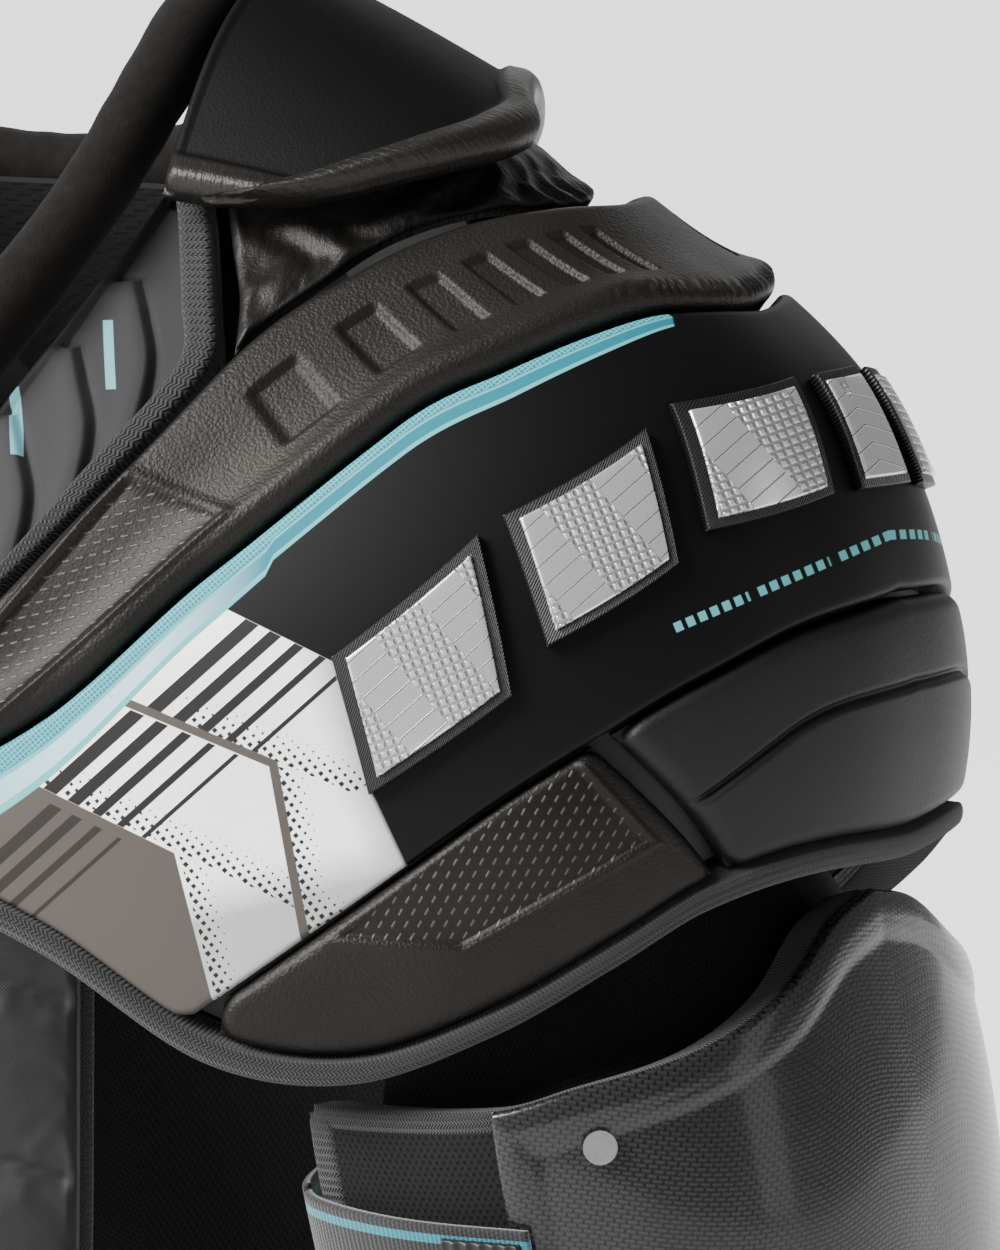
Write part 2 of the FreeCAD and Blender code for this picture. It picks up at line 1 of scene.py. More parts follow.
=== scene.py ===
"""Ice hockey shoulder pads: the looks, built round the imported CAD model.

Lengths below are millimetres and angles degrees, as in the CAD model, until a mesh is made in metres.
The wearer faces -Y and the wearer's left is +X.  Every pair of pieces is made on the left and mirrored.
"""

import math

import bpy
import numpy as np
from mathutils import Matrix, Vector


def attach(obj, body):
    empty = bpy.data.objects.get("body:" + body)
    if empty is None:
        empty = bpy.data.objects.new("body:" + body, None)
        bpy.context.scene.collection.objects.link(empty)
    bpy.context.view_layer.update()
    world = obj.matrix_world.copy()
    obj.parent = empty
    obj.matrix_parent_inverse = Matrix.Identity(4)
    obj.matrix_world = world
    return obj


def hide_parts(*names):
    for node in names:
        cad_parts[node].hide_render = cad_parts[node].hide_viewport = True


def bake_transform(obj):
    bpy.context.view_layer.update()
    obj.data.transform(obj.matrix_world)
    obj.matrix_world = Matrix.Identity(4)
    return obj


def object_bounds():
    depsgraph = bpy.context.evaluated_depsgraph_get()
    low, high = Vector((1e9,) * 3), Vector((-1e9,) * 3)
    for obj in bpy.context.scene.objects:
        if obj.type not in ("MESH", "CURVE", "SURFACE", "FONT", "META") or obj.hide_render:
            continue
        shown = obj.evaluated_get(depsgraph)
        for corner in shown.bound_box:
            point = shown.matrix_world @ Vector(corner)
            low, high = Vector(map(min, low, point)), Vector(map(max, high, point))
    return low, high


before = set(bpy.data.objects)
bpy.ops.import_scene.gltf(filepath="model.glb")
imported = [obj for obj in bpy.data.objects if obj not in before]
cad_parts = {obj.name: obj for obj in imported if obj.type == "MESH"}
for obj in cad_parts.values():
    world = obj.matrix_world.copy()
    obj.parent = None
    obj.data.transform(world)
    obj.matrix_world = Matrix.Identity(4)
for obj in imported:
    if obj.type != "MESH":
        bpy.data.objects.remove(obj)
cad_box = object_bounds()
MM = 0.001


# ---------------------------------------------------------------- curves and body forms
def smooth(points):
    """A smooth curve y(x) through given points, flat beyond its ends."""
    x = np.array([p[0] for p in points], float)
    y = np.array([p[1] for p in points], float)
    slope = np.empty_like(y)
    slope[1:-1] = (y[2:] - y[:-2]) / (x[2:] - x[:-2])
    slope[0] = (y[1] - y[0]) / (x[1] - x[0])
    slope[-1] = (y[-1] - y[-2]) / (x[-1] - x[-2])

    def at(v):
        v = np.clip(v, x[0], x[-1])
        i = np.clip(np.searchsorted(x, v, side="right") - 1, 0, len(x) - 2)
        span = x[i + 1] - x[i]
        k = (v - x[i]) / span
        k2, k3 = k * k, k * k * k
        start = (2 * k3 - 3 * k2 + 1) * y[i] + (k3 - 2 * k2 + k) * span * slope[i]
        return start + (3 * k2 - 2 * k3) * y[i + 1] + (k3 - k2) * span * slope[i + 1]

    return at


def stack(x, y, z):
    return np.stack(np.broadcast_arrays(x, y, z), -1).astype(float)


class Form:
    """A stack of rounded rings: at each height a half-width, a half-depth and the ring's middle in X."""

    def __init__(self, rows, power, half_width, half_depth, inside):
        rows = sorted(rows)
        self.width = smooth([(z, half_width * a) for z, a, b, c in rows])
        self.depth = smooth([(z, half_depth * b) for z, a, b, c in rows])
        self.middle = smooth([(z, c) for z, a, b, c in rows])
        self.top = rows[-1][0]
        self.power = power
        self.inside = inside

    def around(self, angle, z):
        c, s = np.cos(np.radians(angle)), np.sin(np.radians(angle))
        reach = (np.abs(c) ** self.power + np.abs(s) ** self.power) ** (-1 / self.power)
        return stack(self.middle(z) + self.width(z) * c * reach, self.depth(z) * s * reach, z)

    def facing(self, side):
        def at(x, z):
            share = np.minimum(1.0, np.abs((x - self.middle(z)) / self.width(z)))
            return stack(x, side * self.depth(z) * (1 - share**self.power) ** (1 / self.power), z)

        return at

    def arched(self, centre_z):
        def at(x, angle):
            x, angle = np.broadcast_arrays(np.asarray(x, float), np.asarray(angle, float))
            s, c = np.sin(np.radians(angle)), np.cos(np.radians(angle))
            low, high = np.zeros_like(x), np.full_like(x, 260.0)
            for _ in range(40):
                middle = (low + high) / 2
                y, z = middle * s, centre_z + middle * c
                share = np.abs(x / self.width(z)) ** self.power + np.abs(y / self.depth(z)) ** self.power
                out = (z > self.top) | (share > 1)
                high = np.where(out, middle, high)
                low = np.where(out, low, middle)
            return stack(x, low * s, centre_z + low * c)

        return at

    def normal(self, surface, u, v):
        step = 0.4
        along_u = surface(u + step, v) - surface(u - step, v)
        along_v = surface(u, v + step) - surface(u, v - step)
        n = np.cross(along_u, along_v)
        n /= np.maximum(np.linalg.norm(n, axis=-1, keepdims=True), 1e-9)
        p = surface(u, v)
        flip = np.sign(np.sum(n * (p - self.inside(p)), -1, keepdims=True))
        return n * flip


def point_inside(x, y, z):
    """The point that a form's outward side faces away from; None keeps the surface point's own height."""
    return lambda p: stack(x, y, p[..., 2] if z is None else z)


shoulder = Form(
    [
        (46, 0.279, 0.10, 0),
        (38, 0.348, 0.18, 0),
        (20, 0.488, 0.31, 0),
        (-3, 0.645, 0.42, 0),
        (-20, 0.742, 0.50, 0),
        (-34, 0.829, 0.59, 0),
        (-56, 0.913, 0.72, 0),
        (-78, 0.958, 0.82, 0),
        (-108, 0.990, 0.915, 0),
        (-140, 1.000, 0.972, 0),
        (-172, 0.990, 0.993, 0),
        (-215, 0.962, 0.993, 0),
        (-260, 0.913, 0.980, 0),
    ],
    2.4,
    287,
    141,
    point_inside(150, 0, -150),
)
torso = Form(
    [
        (-40, 0.88, 0.80, 0),
        (-80, 0.98, 0.90, 0),
        (-130, 1.03, 0.97, 0),
        (-200, 1.06, 1.01, 0),
        (-280, 1.04, 1.01, 0),
        (-360, 1.00, 0.98, 0),
        (-450, 0.98, 0.96, 0),
    ],
    2.6,
    142,
    100,
    point_inside(0, 0, None),
)
arm = Form(
    [
        (-150, 75, 0.87, 190),
        (-180, 80, 0.94, 196),
        (-236, 85, 1.00, 206),
        (-300, 81, 0.94, 219),
        (-350, 74, 0.85, 229),
    ],
    2.3,
    1.0,
    103,
    point_inside(210, 0, None),
)
chest_face, back_face = torso.facing(-1), torso.facing(1)
upper_front, upper_back = shoulder.facing(-1), shoulder.facing(1)
arch = shoulder.arched(-110)


def even(curve):
    return lambda u: curve(np.abs(u))


def shifted(curve, by):
    return lambda u: curve(u) + by


def flat(value):
    return lambda u: np.zeros_like(np.asarray(u, float)) + value


def between(left, right, top, bottom):
    """A region between two curves over u; left and right are u values, or pairs for the top and bottom."""

    def edge(value, w):
        return value[0] + (value[1] - value[0]) * w if isinstance(value, tuple) else value

    def region(s, w):
        u = edge(left, w) + (edge(right, w) - edge(left, w)) * s
        return u, top(u) + (bottom(u) - top(u)) * w

    return region


# ---------------------------------------------------------------- mesh making
def make_mesh(name, points, quads, uvs, material):
    """A mesh object in metres from points in millimetres."""
    points = np.asarray(points, float) * MM
    quads = np.asarray(quads, int)
    mesh = bpy.data.meshes.new(name)
    mesh.vertices.add(len(points))
    mesh.vertices.foreach_set("co", points.ravel())
    mesh.loops.add(quads.size)
    mesh.loops.foreach_set("vertex_index", quads.ravel().astype(np.int32))
    mesh.polygons.add(len(quads))
    width = quads.shape[1]
    mesh.polygons.foreach_set("loop_start", np.arange(0, quads.size, width, dtype=np.int32))
    mesh.polygons.foreach_set("use_smooth", np.ones(len(quads), bool))
    for uv_name, values in uvs.items():
        layer = mesh.uv_layers.new(name=uv_name)
        layer.data.foreach_set("uv", np.asarray(values, np.float32)[quads.ravel()].ravel())
    mesh.update(calc_edges=True)
    mesh.validate()
    thing = bpy.data.objects.new(name, mesh)
    bpy.context.scene.collection.objects.link(thing)
    thing.data.materials.append(material)
    return thing


def spaced(length, cells, edge):
    """Shares from 0 to 1 along a length, close together near both ends so that a rounded edge stays round."""
    turn = np.linspace(0, math.pi / 2, 7)[:-1]
    length = np.atleast_1d(np.asarray(length, float))[:, None]
    edge = np.minimum(edge, 0.45 * length)
    near = edge * (1 - np.cos(turn))
    middle = edge + (length - 2 * edge) * np.linspace(0, 1, cells + 1)
    return np.concatenate([near, middle, length - near[:, ::-1]], 1) / length


def arc(points):
    """Running length along the second axis of an array of points."""
    steps = np.linalg.norm(np.diff(points, axis=1), axis=-1)
    return np.concatenate([np.zeros((len(points), 1)), np.cumsum(steps, 1)], 1)


grids_of = {}


def across_view(points):
    """The points laid flat as seen from in front and to the wearer's left, where the prints are set out."""
    x, y, z = points[..., 0], -np.abs(points[..., 1]), points[..., 2]
    return np.stack([0.866 * x + 0.5 * y, -0.0696 * x + 0.1205 * y + 0.990 * z], -1)


def panel(name, form, surface, region, low, high, material, cells, edge=3.0, relief=None, foot=None):
    """A closed panel with rounded outer edges over a region of a form.

    relief(g) adds to the outer height; g holds arrays of the grid's own values: s and w, across and down in
    millimetres, their full lengths wide and tall, u and v, and the flat view's x and y.
    foot is how much of the edge's rounding the inner face also gets.
    """
    nu, nv = cells
    rough = np.linspace(0, 1, 41)
    middle = surface(*region(rough, np.full(41, 0.5)))
    wide = float(arc(middle[None])[0, -1])
    s = spaced(wide, nu, edge)[0]
    column = surface(*region(s[:, None], rough[None, :]))
    tall = arc(column)[:, -1]
    w = spaced(tall, nv, edge)
    s = np.broadcast_to(s[:, None], w.shape)
    u, v = region(s, w)
    u, v = np.broadcast_arrays(u, v)
    base, normal = surface(u, v), form.normal(surface, u, v)
    across, down = s * wide, w * tall[:, None]
    plan = across_view(base)
    g = dict(
        s=s,
        w=w,
        across=across,
        down=down,
        wide=wide,
        tall=tall[:, None],
        u=u,
        v=v,
        x=plan[..., 0],
        y=plan[..., 1],
    )
    near_u = np.maximum(edge - np.minimum(across, wide - across), 0)
    near_v = np.maximum(edge - np.minimum(down, tall[:, None] - down), 0)
    near = np.minimum(np.hypot(near_u, near_v), edge)
    drop = edge - np.sqrt(np.maximum(edge**2 - near**2, 0))
    low_h = low(g) if callable(low) else np.full(w.shape, float(low))
    high_h = high(g) if callable(high) else np.full(w.shape, float(high))
    drop = drop * np.minimum(1, 0.92 * (high_h - low_h) / edge) if foot is None else drop * (1 - foot)
    outer_h = high_h - drop
    if relief is not None:
        outer_h = outer_h + relief(g) * (1 - near / edge)
    inner_h = low_h if foot is None else low_h + foot * drop
    outer = base + normal * outer_h[..., None]
    inner = base + normal * inner_h[..., None]
    rows, cols = w.shape
    index = np.arange(rows * cols).reshape(rows, cols)

    def faces(a, turned):
        q = np.stack([a[:-1, :-1], a[1:, :-1], a[1:, 1:], a[:-1, 1:]], -1).reshape(-1, 4)
        return q[:, ::-1] if turned else q

    a, b, c = outer[0, 0], outer[1, 0], outer[0, 1]
    outward = np.dot(np.cross(b - a, c - a), normal[0, 0]) > 0
    step = rows * cols
    rim = np.concatenate([index[:, 0], index[-1, 1:], index[-2::-1, -1], index[0, -2:0:-1]])
    after = np.roll(rim, -1)
    walls = np.stack([rim, rim + step, after + step, after], -1)
    quads = np.concatenate(
        [faces(index, not outward), faces(index + step, outward), walls if outward else walls[:, ::-1]]
    )
    points = np.concatenate([outer.reshape(-1, 3), inner.reshape(-1, 3)])
    side, foot_run = np.minimum(across, wide - across), tall[:, None] - down
    grids = {"mm": np.stack([across, down], -1), "form": np.stack([u, v], -1), "plan": plan}
    grids["edge"] = np.stack([np.minimum(side, foot_run), np.where(side < foot_run, down, across)], -1)
    uvs = {k: np.tile(q.reshape(-1, 2), (2, 1)) for k, q in grids.items()}
    piece = make_mesh(name, points, quads, uvs, material)
    grids_of[piece.name] = g
    return piece


def tube(name, centre, radius, material, sides, up=(0, 0, 1)):
    """A round tube with closed ends along points; up is a direction that it never runs in."""
    centre = np.asarray(centre, float)
    ahead = np.roll(centre, -1, 0) - np.roll(centre, 1, 0)
    ahead[0], ahead[-1] = centre[1] - centre[0], centre[-1] - centre[-2]
    ahead /= np.linalg.norm(ahead, axis=1, keepdims=True)
    up = np.broadcast_to(np.asarray(up, float), centre.shape)
    across = np.cross(ahead, up)
    across /= np.linalg.norm(across, axis=1, keepdims=True)
    lift = np.cross(across, ahead)
    radius = np.broadcast_to(radius, len(centre))
    turn = np.linspace(0, 2 * math.pi, sides, endpoint=False)
    ring = np.cos(turn)[None, :, None] * across[:, None] + np.sin(turn)[None, :, None] * lift[:, None]
    points = centre[:, None] + radius[:, None, None] * ring
    rows = len(centre)
    index = np.arange(rows * sides).reshape(rows, sides)
    a, b = index[:-1], index[1:]
    quads = np.stack([a, b, np.roll(b, -1, 1), np.roll(a, -1, 1)], -1).reshape(-1, 4)
    run = np.concatenate([[0], np.cumsum(np.linalg.norm(np.diff(centre, axis=0), axis=1))])
    uv = np.stack(np.broadcast_arrays(run[:, None], turn[None, :] * radius[:, None]), -1)
    points = points.reshape(-1, 3)
    uv = uv.reshape(-1, 2)
    for row, flip in ((0, False), (rows - 1, True)):
        tip = np.full(sides // 2, len(points))
        points = np.concatenate([points, centre[row : row + 1]])
        uv = np.concatenate([uv, uv[index[row, 0]][None]])
        edge = index[row]
        cap = np.stack([tip, edge[::2], edge[1::2], np.roll(edge, -2)[::2]], -1)
        quads = np.concatenate([quads, cap if flip else cap[:, ::-1]])
    return make_mesh(name, points, quads, {"mm": uv, "form": uv, "plan": uv}, material)


# ---------------------------------------------------------------- materials
class Value:
    """A number in a material's node tree, which adds, multiplies and compares like one in code."""

    def __init__(self, tree, socket):
        self.tree, self.socket = tree, socket

    def do(self, operation, *others, clamp=False):
        node = self.tree.nodes.new("ShaderNodeMath")
        node.operation, node.use_clamp = operation, clamp
        for i, item in enumerate((self, *others)):
            if isinstance(item, Value):
                self.tree.links.new(item.socket, node.inputs[i])
            else:
                node.inputs[i].default_value = item
        return Value(self.tree, node.outputs[0])

    def __add__(self, other):
        return self.do("ADD", other)

    def __sub__(self, other):
        return self.do("SUBTRACT", other)

    def __rsub__(self, other):
        return (self * -1.0).do("ADD", other)

    def __mul__(self, other):
        return self.do("MULTIPLY", other)

    def __truediv__(self, other):
        return self.do("DIVIDE", other)

    def over(self, edge, soft=0.15):
        """1 where the value is above an edge and 0 below, over a soft width."""
        return ((self - edge) * (1 / soft)).do("ADD", 0.5, clamp=True)

    def under(self, edge, soft=0.15):
        return ((self - edge) * (-1 / soft)).do("ADD", 0.5, clamp=True)

    def within(self, low, high, soft=0.15):
        return self.over(low, soft) * self.under(high, soft)

    def either(self, other):
        return self.do("MAXIMUM", other)

    def both(self, other):
        return self.do("MINIMUM", other)

    def wave(self, period):
        """A wave from -1 to 1 with a period."""
        return (self * (2 * math.pi / period)).do("SINE")

    def saw(self, period):
        """How far into its period the value is, from 0 to 1."""
        return (self / period).do("FRACT")

    def cell(self, period):
        return (self / period).do("FLOOR")


class Paint:
    """A material being put together around one Principled shader."""

    def __init__(self, name):
        self.material = bpy.data.materials.new(name)
        self.material.use_nodes = True
        self.tree = self.material.node_tree
        self.shader = next(n for n in self.tree.nodes if n.type == "BSDF_PRINCIPLED")
        self.shader.inputs["Specular IOR Level"].default_value = 0.25
        self.height = None

    def new(self, kind):
        return self.tree.nodes.new(kind)

    def link(self, a, b):
        self.tree.links.new(a.socket if isinstance(a, Value) else a, b)

    def uv(self, name):
        node = self.new("ShaderNodeUVMap")
        node.uv_map = name
        split = self.new("ShaderNodeSeparateXYZ")
        self.link(node.outputs[0], split.inputs[0])
        return Value(self.tree, split.outputs[0]), Value(self.tree, split.outputs[1])

    def place(self):
        """The point's own coordinates in its mesh, in metres."""
        return self.new("ShaderNodeTexCoord").outputs["Object"]

    def at(self, x, y, z=0.0):
        join = self.new("ShaderNodeCombineXYZ")
        for i, item in enumerate((x, y, z)):
            if isinstance(item, Value):
                self.link(item, join.inputs[i])
            else:
                join.inputs[i].default_value = item
        return join.outputs[0]

    def noise(self, size, detail=3.0, rough=0.55, where=None):
        """Soft noise with features of a size in the units of where: metres unless it is a UV map's."""
        node = self.new("ShaderNodeTexNoise")
        node.inputs["Scale"].default_value = 1 / size
        node.inputs["Detail"].default_value = detail
        node.inputs["Roughness"].default_value = rough
        self.link(where or self.place(), node.inputs["Vector"])
        return Value(self.tree, node.outputs["Fac"])

    def cells(self, size):
        """How far each place is from the nearest of scattered points; size is in metres."""
        node = self.new("ShaderNodeTexVoronoi")
        node.inputs["Scale"].default_value = 1 / size
        self.link(self.place(), node.inputs["Vector"])
        return Value(self.tree, node.outputs["Distance"])

    def mix(self, first, second, share):
        """A colour between two; each is a triple or another colour."""
        node = self.new("ShaderNodeMix")
        node.data_type = "RGBA"
        self.link(share, node.inputs[0])
        for item, socket in ((first, node.inputs[6]), (second, node.inputs[7])):
            if isinstance(item, tuple):
                socket.default_value = (*item, 1)
            else:
                self.link(item, socket)
        return node.outputs[2]

    def set(self, **values):
        for key, value in values.items():
            socket = self.shader.inputs[key.replace("_", " ")]
            if isinstance(value, tuple):
                socket.default_value = (*value, 1)
            elif isinstance(value, (int, float)):
                socket.default_value = value
            else:
                self.link(value, socket)
        return self

    def bump(self, height, depth):
        """Relief from a value; depth is the real height in millimetres of one unit of it."""
        node = self.new("ShaderNodeBump")
        node.inputs["Distance"].default_value = depth * MM
        node.inputs["Strength"].default_value = 1.0
        self.link(height, node.inputs["Height"])
        if self.height is not None:
            self.link(self.height, node.inputs["Normal"])
        self.height = node.outputs[0]
        self.link(self.height, self.shader.inputs["Normal"])
        return self


def line_side(x, y, a, b):
    """The distance of a point to the left of the line from a to b."""
    dx, dy = b[0] - a[0], b[1] - a[1]
    size = math.hypot(dx, dy)
    return (y - a[1]) * (dx / size) - (x - a[0]) * (dy / size)


def invert(value):
    return value * -1.0 + 1.0


def pebble(p, size=0.9, depth=0.10):
    """The fine pebbled grain of coated leather."""
    grain = p.cells(size * MM)
    fine = p.noise(size * 0.45 * MM, 2.0)
    p.bump(grain * 0.7 + fine * 0.6, depth)
    return grain


BRONZE_DARK = (0.0038, 0.0034, 0.0029)
BRONZE = (0.021, 0.0181, 0.0152)
# A darker copy of the bronze for the cap's lower panels: painted shade.
BRONZE_SHADED = (0.015, 0.0132, 0.0113)
BLACK = (0.0016, 0.0016, 0.002)
TEAL = (0.012, 0.150, 0.195)
TEAL_PALE = (0.10, 0.36, 0.38)
ICE = (0.40, 0.60, 0.66)
SILVER = (0.97, 0.97, 0.96)
TAUPE = (0.060, 0.052, 0.046)


# The outline of the band's recessed inset near its front, and of the front lower panel's, in the flat view.
BAND_INSET = [(61.8, -98.6), (83.8, -107.8), (28, -157), (8, -160)]
PANEL_INSET = [(110.7, -206.2), (166, -164), (184.3, -183.8), (140.5, -208)]


def bronze_leather(name, inset, lean, light):
    """Pebbled bronze, with rows of short dashes inside an outline of the flat view, painted lighter for their
    glint: a painted highlight.

    lean is the dashes' direction in degrees from level.
    """
    p = Paint(name)
    x, y = p.uv("plan")
    inside = None
    for a, b in zip(inset, inset[1:] + inset[:1]):
        edge = line_side(x, y, a, b) * -1.0
        inside = edge if inside is None else inside.both(edge)
    inside = inside.over(0.6, 0.6)
    c, s = math.cos(math.radians(lean)), math.sin(math.radians(lean))
    across, down = x * c + y * s, y * c - x * s
    dash = (across + down.cell(2.6) * 1.6).saw(3.3).within(0.1, 0.62, 0.1)
    dash = dash * down.saw(2.6).within(0.42, 0.58, 0.08) * inside
    grain = p.cells(0.9 * MM)
    fine = p.noise(0.4 * MM, 2.0)
    p.bump((grain * 0.7 + fine * 0.6) * (inside * -0.6 + 1.0), 0.16).bump(dash, 0.1)
    # Broad random patches lighten the bronze: painted highlight patches, mixed with the leather's real grain.
    tone = (p.noise(0.05, 3.0) * 1.3 - 0.15).both(grain * 0.5 + 0.75)
    color = p.mix(BRONZE_DARK, light, tone)
    # The dashes are painted lighter than the bronze: a painted highlight for their glint; their relief is the
    # bump above.
    color = p.mix(color, (0.06, 0.054, 0.047), dash)
    p.set(Base_Color=color, Roughness=p.noise(0.02, 3.0) * 0.16 + grain * 0.1 + 0.34)
    p.set(Metallic=0.5, Specular_IOR_Level=0.25)
    return p.material


def grey_leather():
    p = Paint("grey_leather")
    broad = p.noise(0.06, 3.0)
    fine = p.noise(0.0007, 3.0)
    p.bump(p.cells(0.0008) * 0.6 + fine, 0.06)
    p.set(
        Base_Color=p.mix((0.004, 0.0037, 0.0034), (0.011, 0.0102, 0.0094), broad), Roughness=fine * 0.1 + 0.46
    )
    p.set(Metallic=0.25)
    return p.material


def creased_leather():
    p = Paint("creased_leather")
    x, y = p.uv("mm")
    broad = p.noise(0.03, 3.0)
    creases = p.noise(1.5, 4.0, 0.6, p.at(x + y * 0.3, y * 0.22))
    p.bump(creases, 0.4)
    pebble(p, 0.8, 0.07)
    p.set(
        Base_Color=p.mix((0.003, 0.0027, 0.0024), (0.012, 0.0105, 0.009), broad),
        Roughness=creases * 0.2 + 0.34,
    )
    p.set(Metallic=0.35)
    return p.material


# The print on the cap plate, in the flat view: its silver field's right side from the stripe to the rim, and
# the two rows that cross it, each with its grey line's turn and the foot of the stem below that.
FIELD_SIDE = [(88.1, -131.0), (109.5, -141.5), (118.5, -173.0), (126.5, -190.0)]
FIRST_ROW, FIRST_TURN, FIRST_FOOT = (65.2, -152.9), (96.4, -165.7), (103.5, -205.0)
SECOND_ROW, SECOND_TURN, SECOND_FOOT = (45.0, -173.3), (73.1, -186.7), (82.0, -222.0)
FIELD_SHADE = ((60, -205), (118, -190))
MARKS = ((189.8, -134.2), (249.3, -109.2))
SLANT = (0.748, 0.664)
BAR_WIDTHS, DARK_BAR_WIDTHS = (3.3, 2.9, 2.3, 1.7, 1.1), (2.9, 2.4, 1.8, 1.0)
BAR_PITCH, DARK_BAR_PITCH = 5.7, 5.2
DOT_PITCH = 2.0
STRIPE_START, STRIPE_KINK = 20, 54.6
INK, DARK_INK, SILVER_SHADE = (0.014, 0.013, 0.012), (0.020, 0.018, 0.016), (0.16, 0.16, 0.16)


def across_slant(x, y):
    return x * SLANT[1] - y * SLANT[0]


def slanting_bars(cross, start, pitch, widths):
    """Bars side by side, the first with its middle at a start."""
    bars = None
    for number, width in enumerate(widths):
        bar = (cross - (start + pitch * number)).do("ABSOLUTE").under(width / 2)
        bars = bar if bars is None else bars.either(bar)
    return bars


def two_rows_of_bars(x, y, cross, below_first, below_second):
    """Slanting bars that thin out from left to right, in a row above each grey line."""
    upper = slanting_bars(cross, across_slant(*FIELD_SIDE[0]) + 3.4, BAR_PITCH, BAR_WIDTHS)
    upper = upper * (line_side(x, y, *FIELD_SIDE[:2]) * -1.0).within(0, 30, 0.2) * invert(below_first)
    lower = slanting_bars(cross, across_slant(*FIRST_ROW) + 0.2, BAR_PITCH, BAR_WIDTHS)
    lower = lower * (line_side(x, y, FIRST_ROW, FIRST_TURN) * -1.0).within(1.2, 30, 0.2) * below_first
    return upper.either(lower) * invert(below_second)


def fading_dots(distance, reach, rate, start):
    """How large the half-tone dots are at a distance from the line that they gather towards."""
    return (reach - distance) * rate * distance.over(start)


def edge_stripe(p, angle, down, along, cross, spray):
    """Where the stripe along the plate's upper edge is, and its colour: dotted, line, body and pale border.

    It follows the edge, and widens past a kink and turns to ice at the front.
    """
    beyond = angle - STRIPE_KINK
    width = (angle - STRIPE_START) * 0.145 + 4.0 + angle.over(STRIPE_KINK, 0.4) * (beyond * 0.32 + 2.2)
    share = down / width
    where = share.under(1.0, 0.02) * angle.over(19.8, 0.15) * (angle - down * 0.35).over(19.2, 0.3)
    lattice = (along.saw(1.0) - 0.5).do("ABSOLUTE").either((cross.saw(1.0) - 0.5).do("ABSOLUTE"))
    lattice = lattice.over(0.36, 0.1)
    pale = share.within(0.43, 0.50, 0.02).either(share.over(0.86, 0.02))
    fade = angle.over(57.5, 5.5) * (angle.over(68.5, 8.0) * -0.6 + 1.0)
    body = p.mix(TEAL, ICE, fade * share.over(0.45, 0.1) * (spray * 0.3 + 0.8))
    return where, p.mix(p.mix(body, TEAL_PALE, pale), TEAL_PALE, share.under(0.40, 0.02) * lattice * 0.9)


def row_of_marks(x, y):
    """Small marks in groups along a line below the badge."""
    (ax, ay), (bx, by) = MARKS
    size = math.hypot(bx - ax, by - ay)
    run = (x - ax) * ((bx - ax) / size) + (y - ay) * ((by - ay) / size)
    marks = line_side(x, y, *MARKS).do("ABSOLUTE").under(1.15) * run.within(0, size)
    return marks * run.saw(3.1).within(0.05, 0.68, 0.06) * (run / 21.5).saw(1.0).under(0.9, 0.02)


def printed_leather():
    """The cap plate: matt black with an airbrushed silver field, bars and dots, and an edge stripe."""
    p = Paint("printed_leather")
    x, y = p.uv("plan")
    angle, _ = p.uv("form")
    _, down = p.uv("mm")
    spray = p.noise(0.0011, 2.0, 0.7)
    cloud = p.noise(0.03, 2.0)
    along, cross = x * SLANT[0] + y * SLANT[1], across_slant(x, y)

    right = line_side(x, y, *FIELD_SIDE[1:3]).both(line_side(x, y, *FIELD_SIDE[2:]))
    field = line_side(x, y, *FIELD_SIDE[:2]).under(0) * right.under(0.8, 1.2)
    to_first, to_second = line_side(x, y, FIRST_ROW, FIRST_TURN), line_side(x, y, SECOND_ROW, SECOND_TURN)
    by_first, by_second = line_side(x, y, FIRST_TURN, FIRST_FOOT), line_side(x, y, SECOND_TURN, SECOND_FOOT)
    below_first, below_second = to_first.under(0), to_second.under(0)
    bars = two_rows_of_bars(x, y, cross, below_first, below_second)

    reach = fading_dots(to_first, 9.5, 0.028, 0.8) * (by_first.over(-18) * cross.under(206))
    reach = reach.either(fading_dots(to_second, 9.5, 0.028, 0.8) * below_first)
    reach = reach.either(fading_dots(by_first, 8.5, 0.034, 1.0) * below_first)
    reach = reach.either(fading_dots(by_second, 8.5, 0.034, 1.0) * below_second)
    in_row = (along.saw(DOT_PITCH) - 0.5).do("ABSOLUTE")
    square = in_row.either(((cross + along.cell(DOT_PITCH)).saw(DOT_PITCH) - 0.5).do("ABSOLUTE"))
    dots = (reach * 1.25 - square).over(0, 0.06)

    right_of_start = line_side(x, y, FIELD_SIDE[0], FIRST_ROW).over(-4)
    lines = to_first.do("ABSOLUTE").under(1.0) * by_first.under(0.5) * right_of_start
    lines = lines.either(by_first.do("ABSOLUTE").under(1.1) * to_first.under(0.8))
    corner = below_second * by_second.under(0)
    dark_bars = slanting_bars(cross, across_slant(*SECOND_ROW) + 2.0, DARK_BAR_PITCH, DARK_BAR_WIDTHS)
    dark_bars = dark_bars * to_second.under(-2.5) * corner

    stripe, stripe_color = edge_stripe(p, angle.do("ABSOLUTE"), down, along, cross, spray)
    glow = ((cloud * 0.7 + spray * 0.55) * 1.25).do("MINIMUM", 1.0)
    shade = right.under(-3.0, 9.0) * line_side(x, y, *FIELD_SHADE).over(2, 10)
    silver = p.mix(SILVER_SHADE, SILVER, (glow * 0.45 + 0.62) * (shade * 0.75 + 0.25))
    clear_of_corner = (below_second - corner).do("MAXIMUM", 0.0).either(invert(below_second))
    color = p.mix(BLACK, silver, field)
    color = p.mix(color, INK, bars.either(dots * clear_of_corner) * field)
    color = p.mix(color, TAUPE, lines.either(corner) * field)
    color = p.mix(color, DARK_INK, dark_bars * field)
    color = p.mix(color, stripe_color, stripe)
    color = p.mix(color, TEAL_PALE, row_of_marks(x, y))
    metal = field * invert(bars.either(dots).either(lines).either(corner)) * invert(stripe)
    p.bump(p.noise(0.0005, 2.0), 0.02).bump(stripe + bars * field * 0.6, 0.05)
    p.set(Base_Color=color, Metallic=metal * 0.3, Roughness=metal * -0.12 + 0.47, Specular_IOR_Level=0.13)
    return p.material


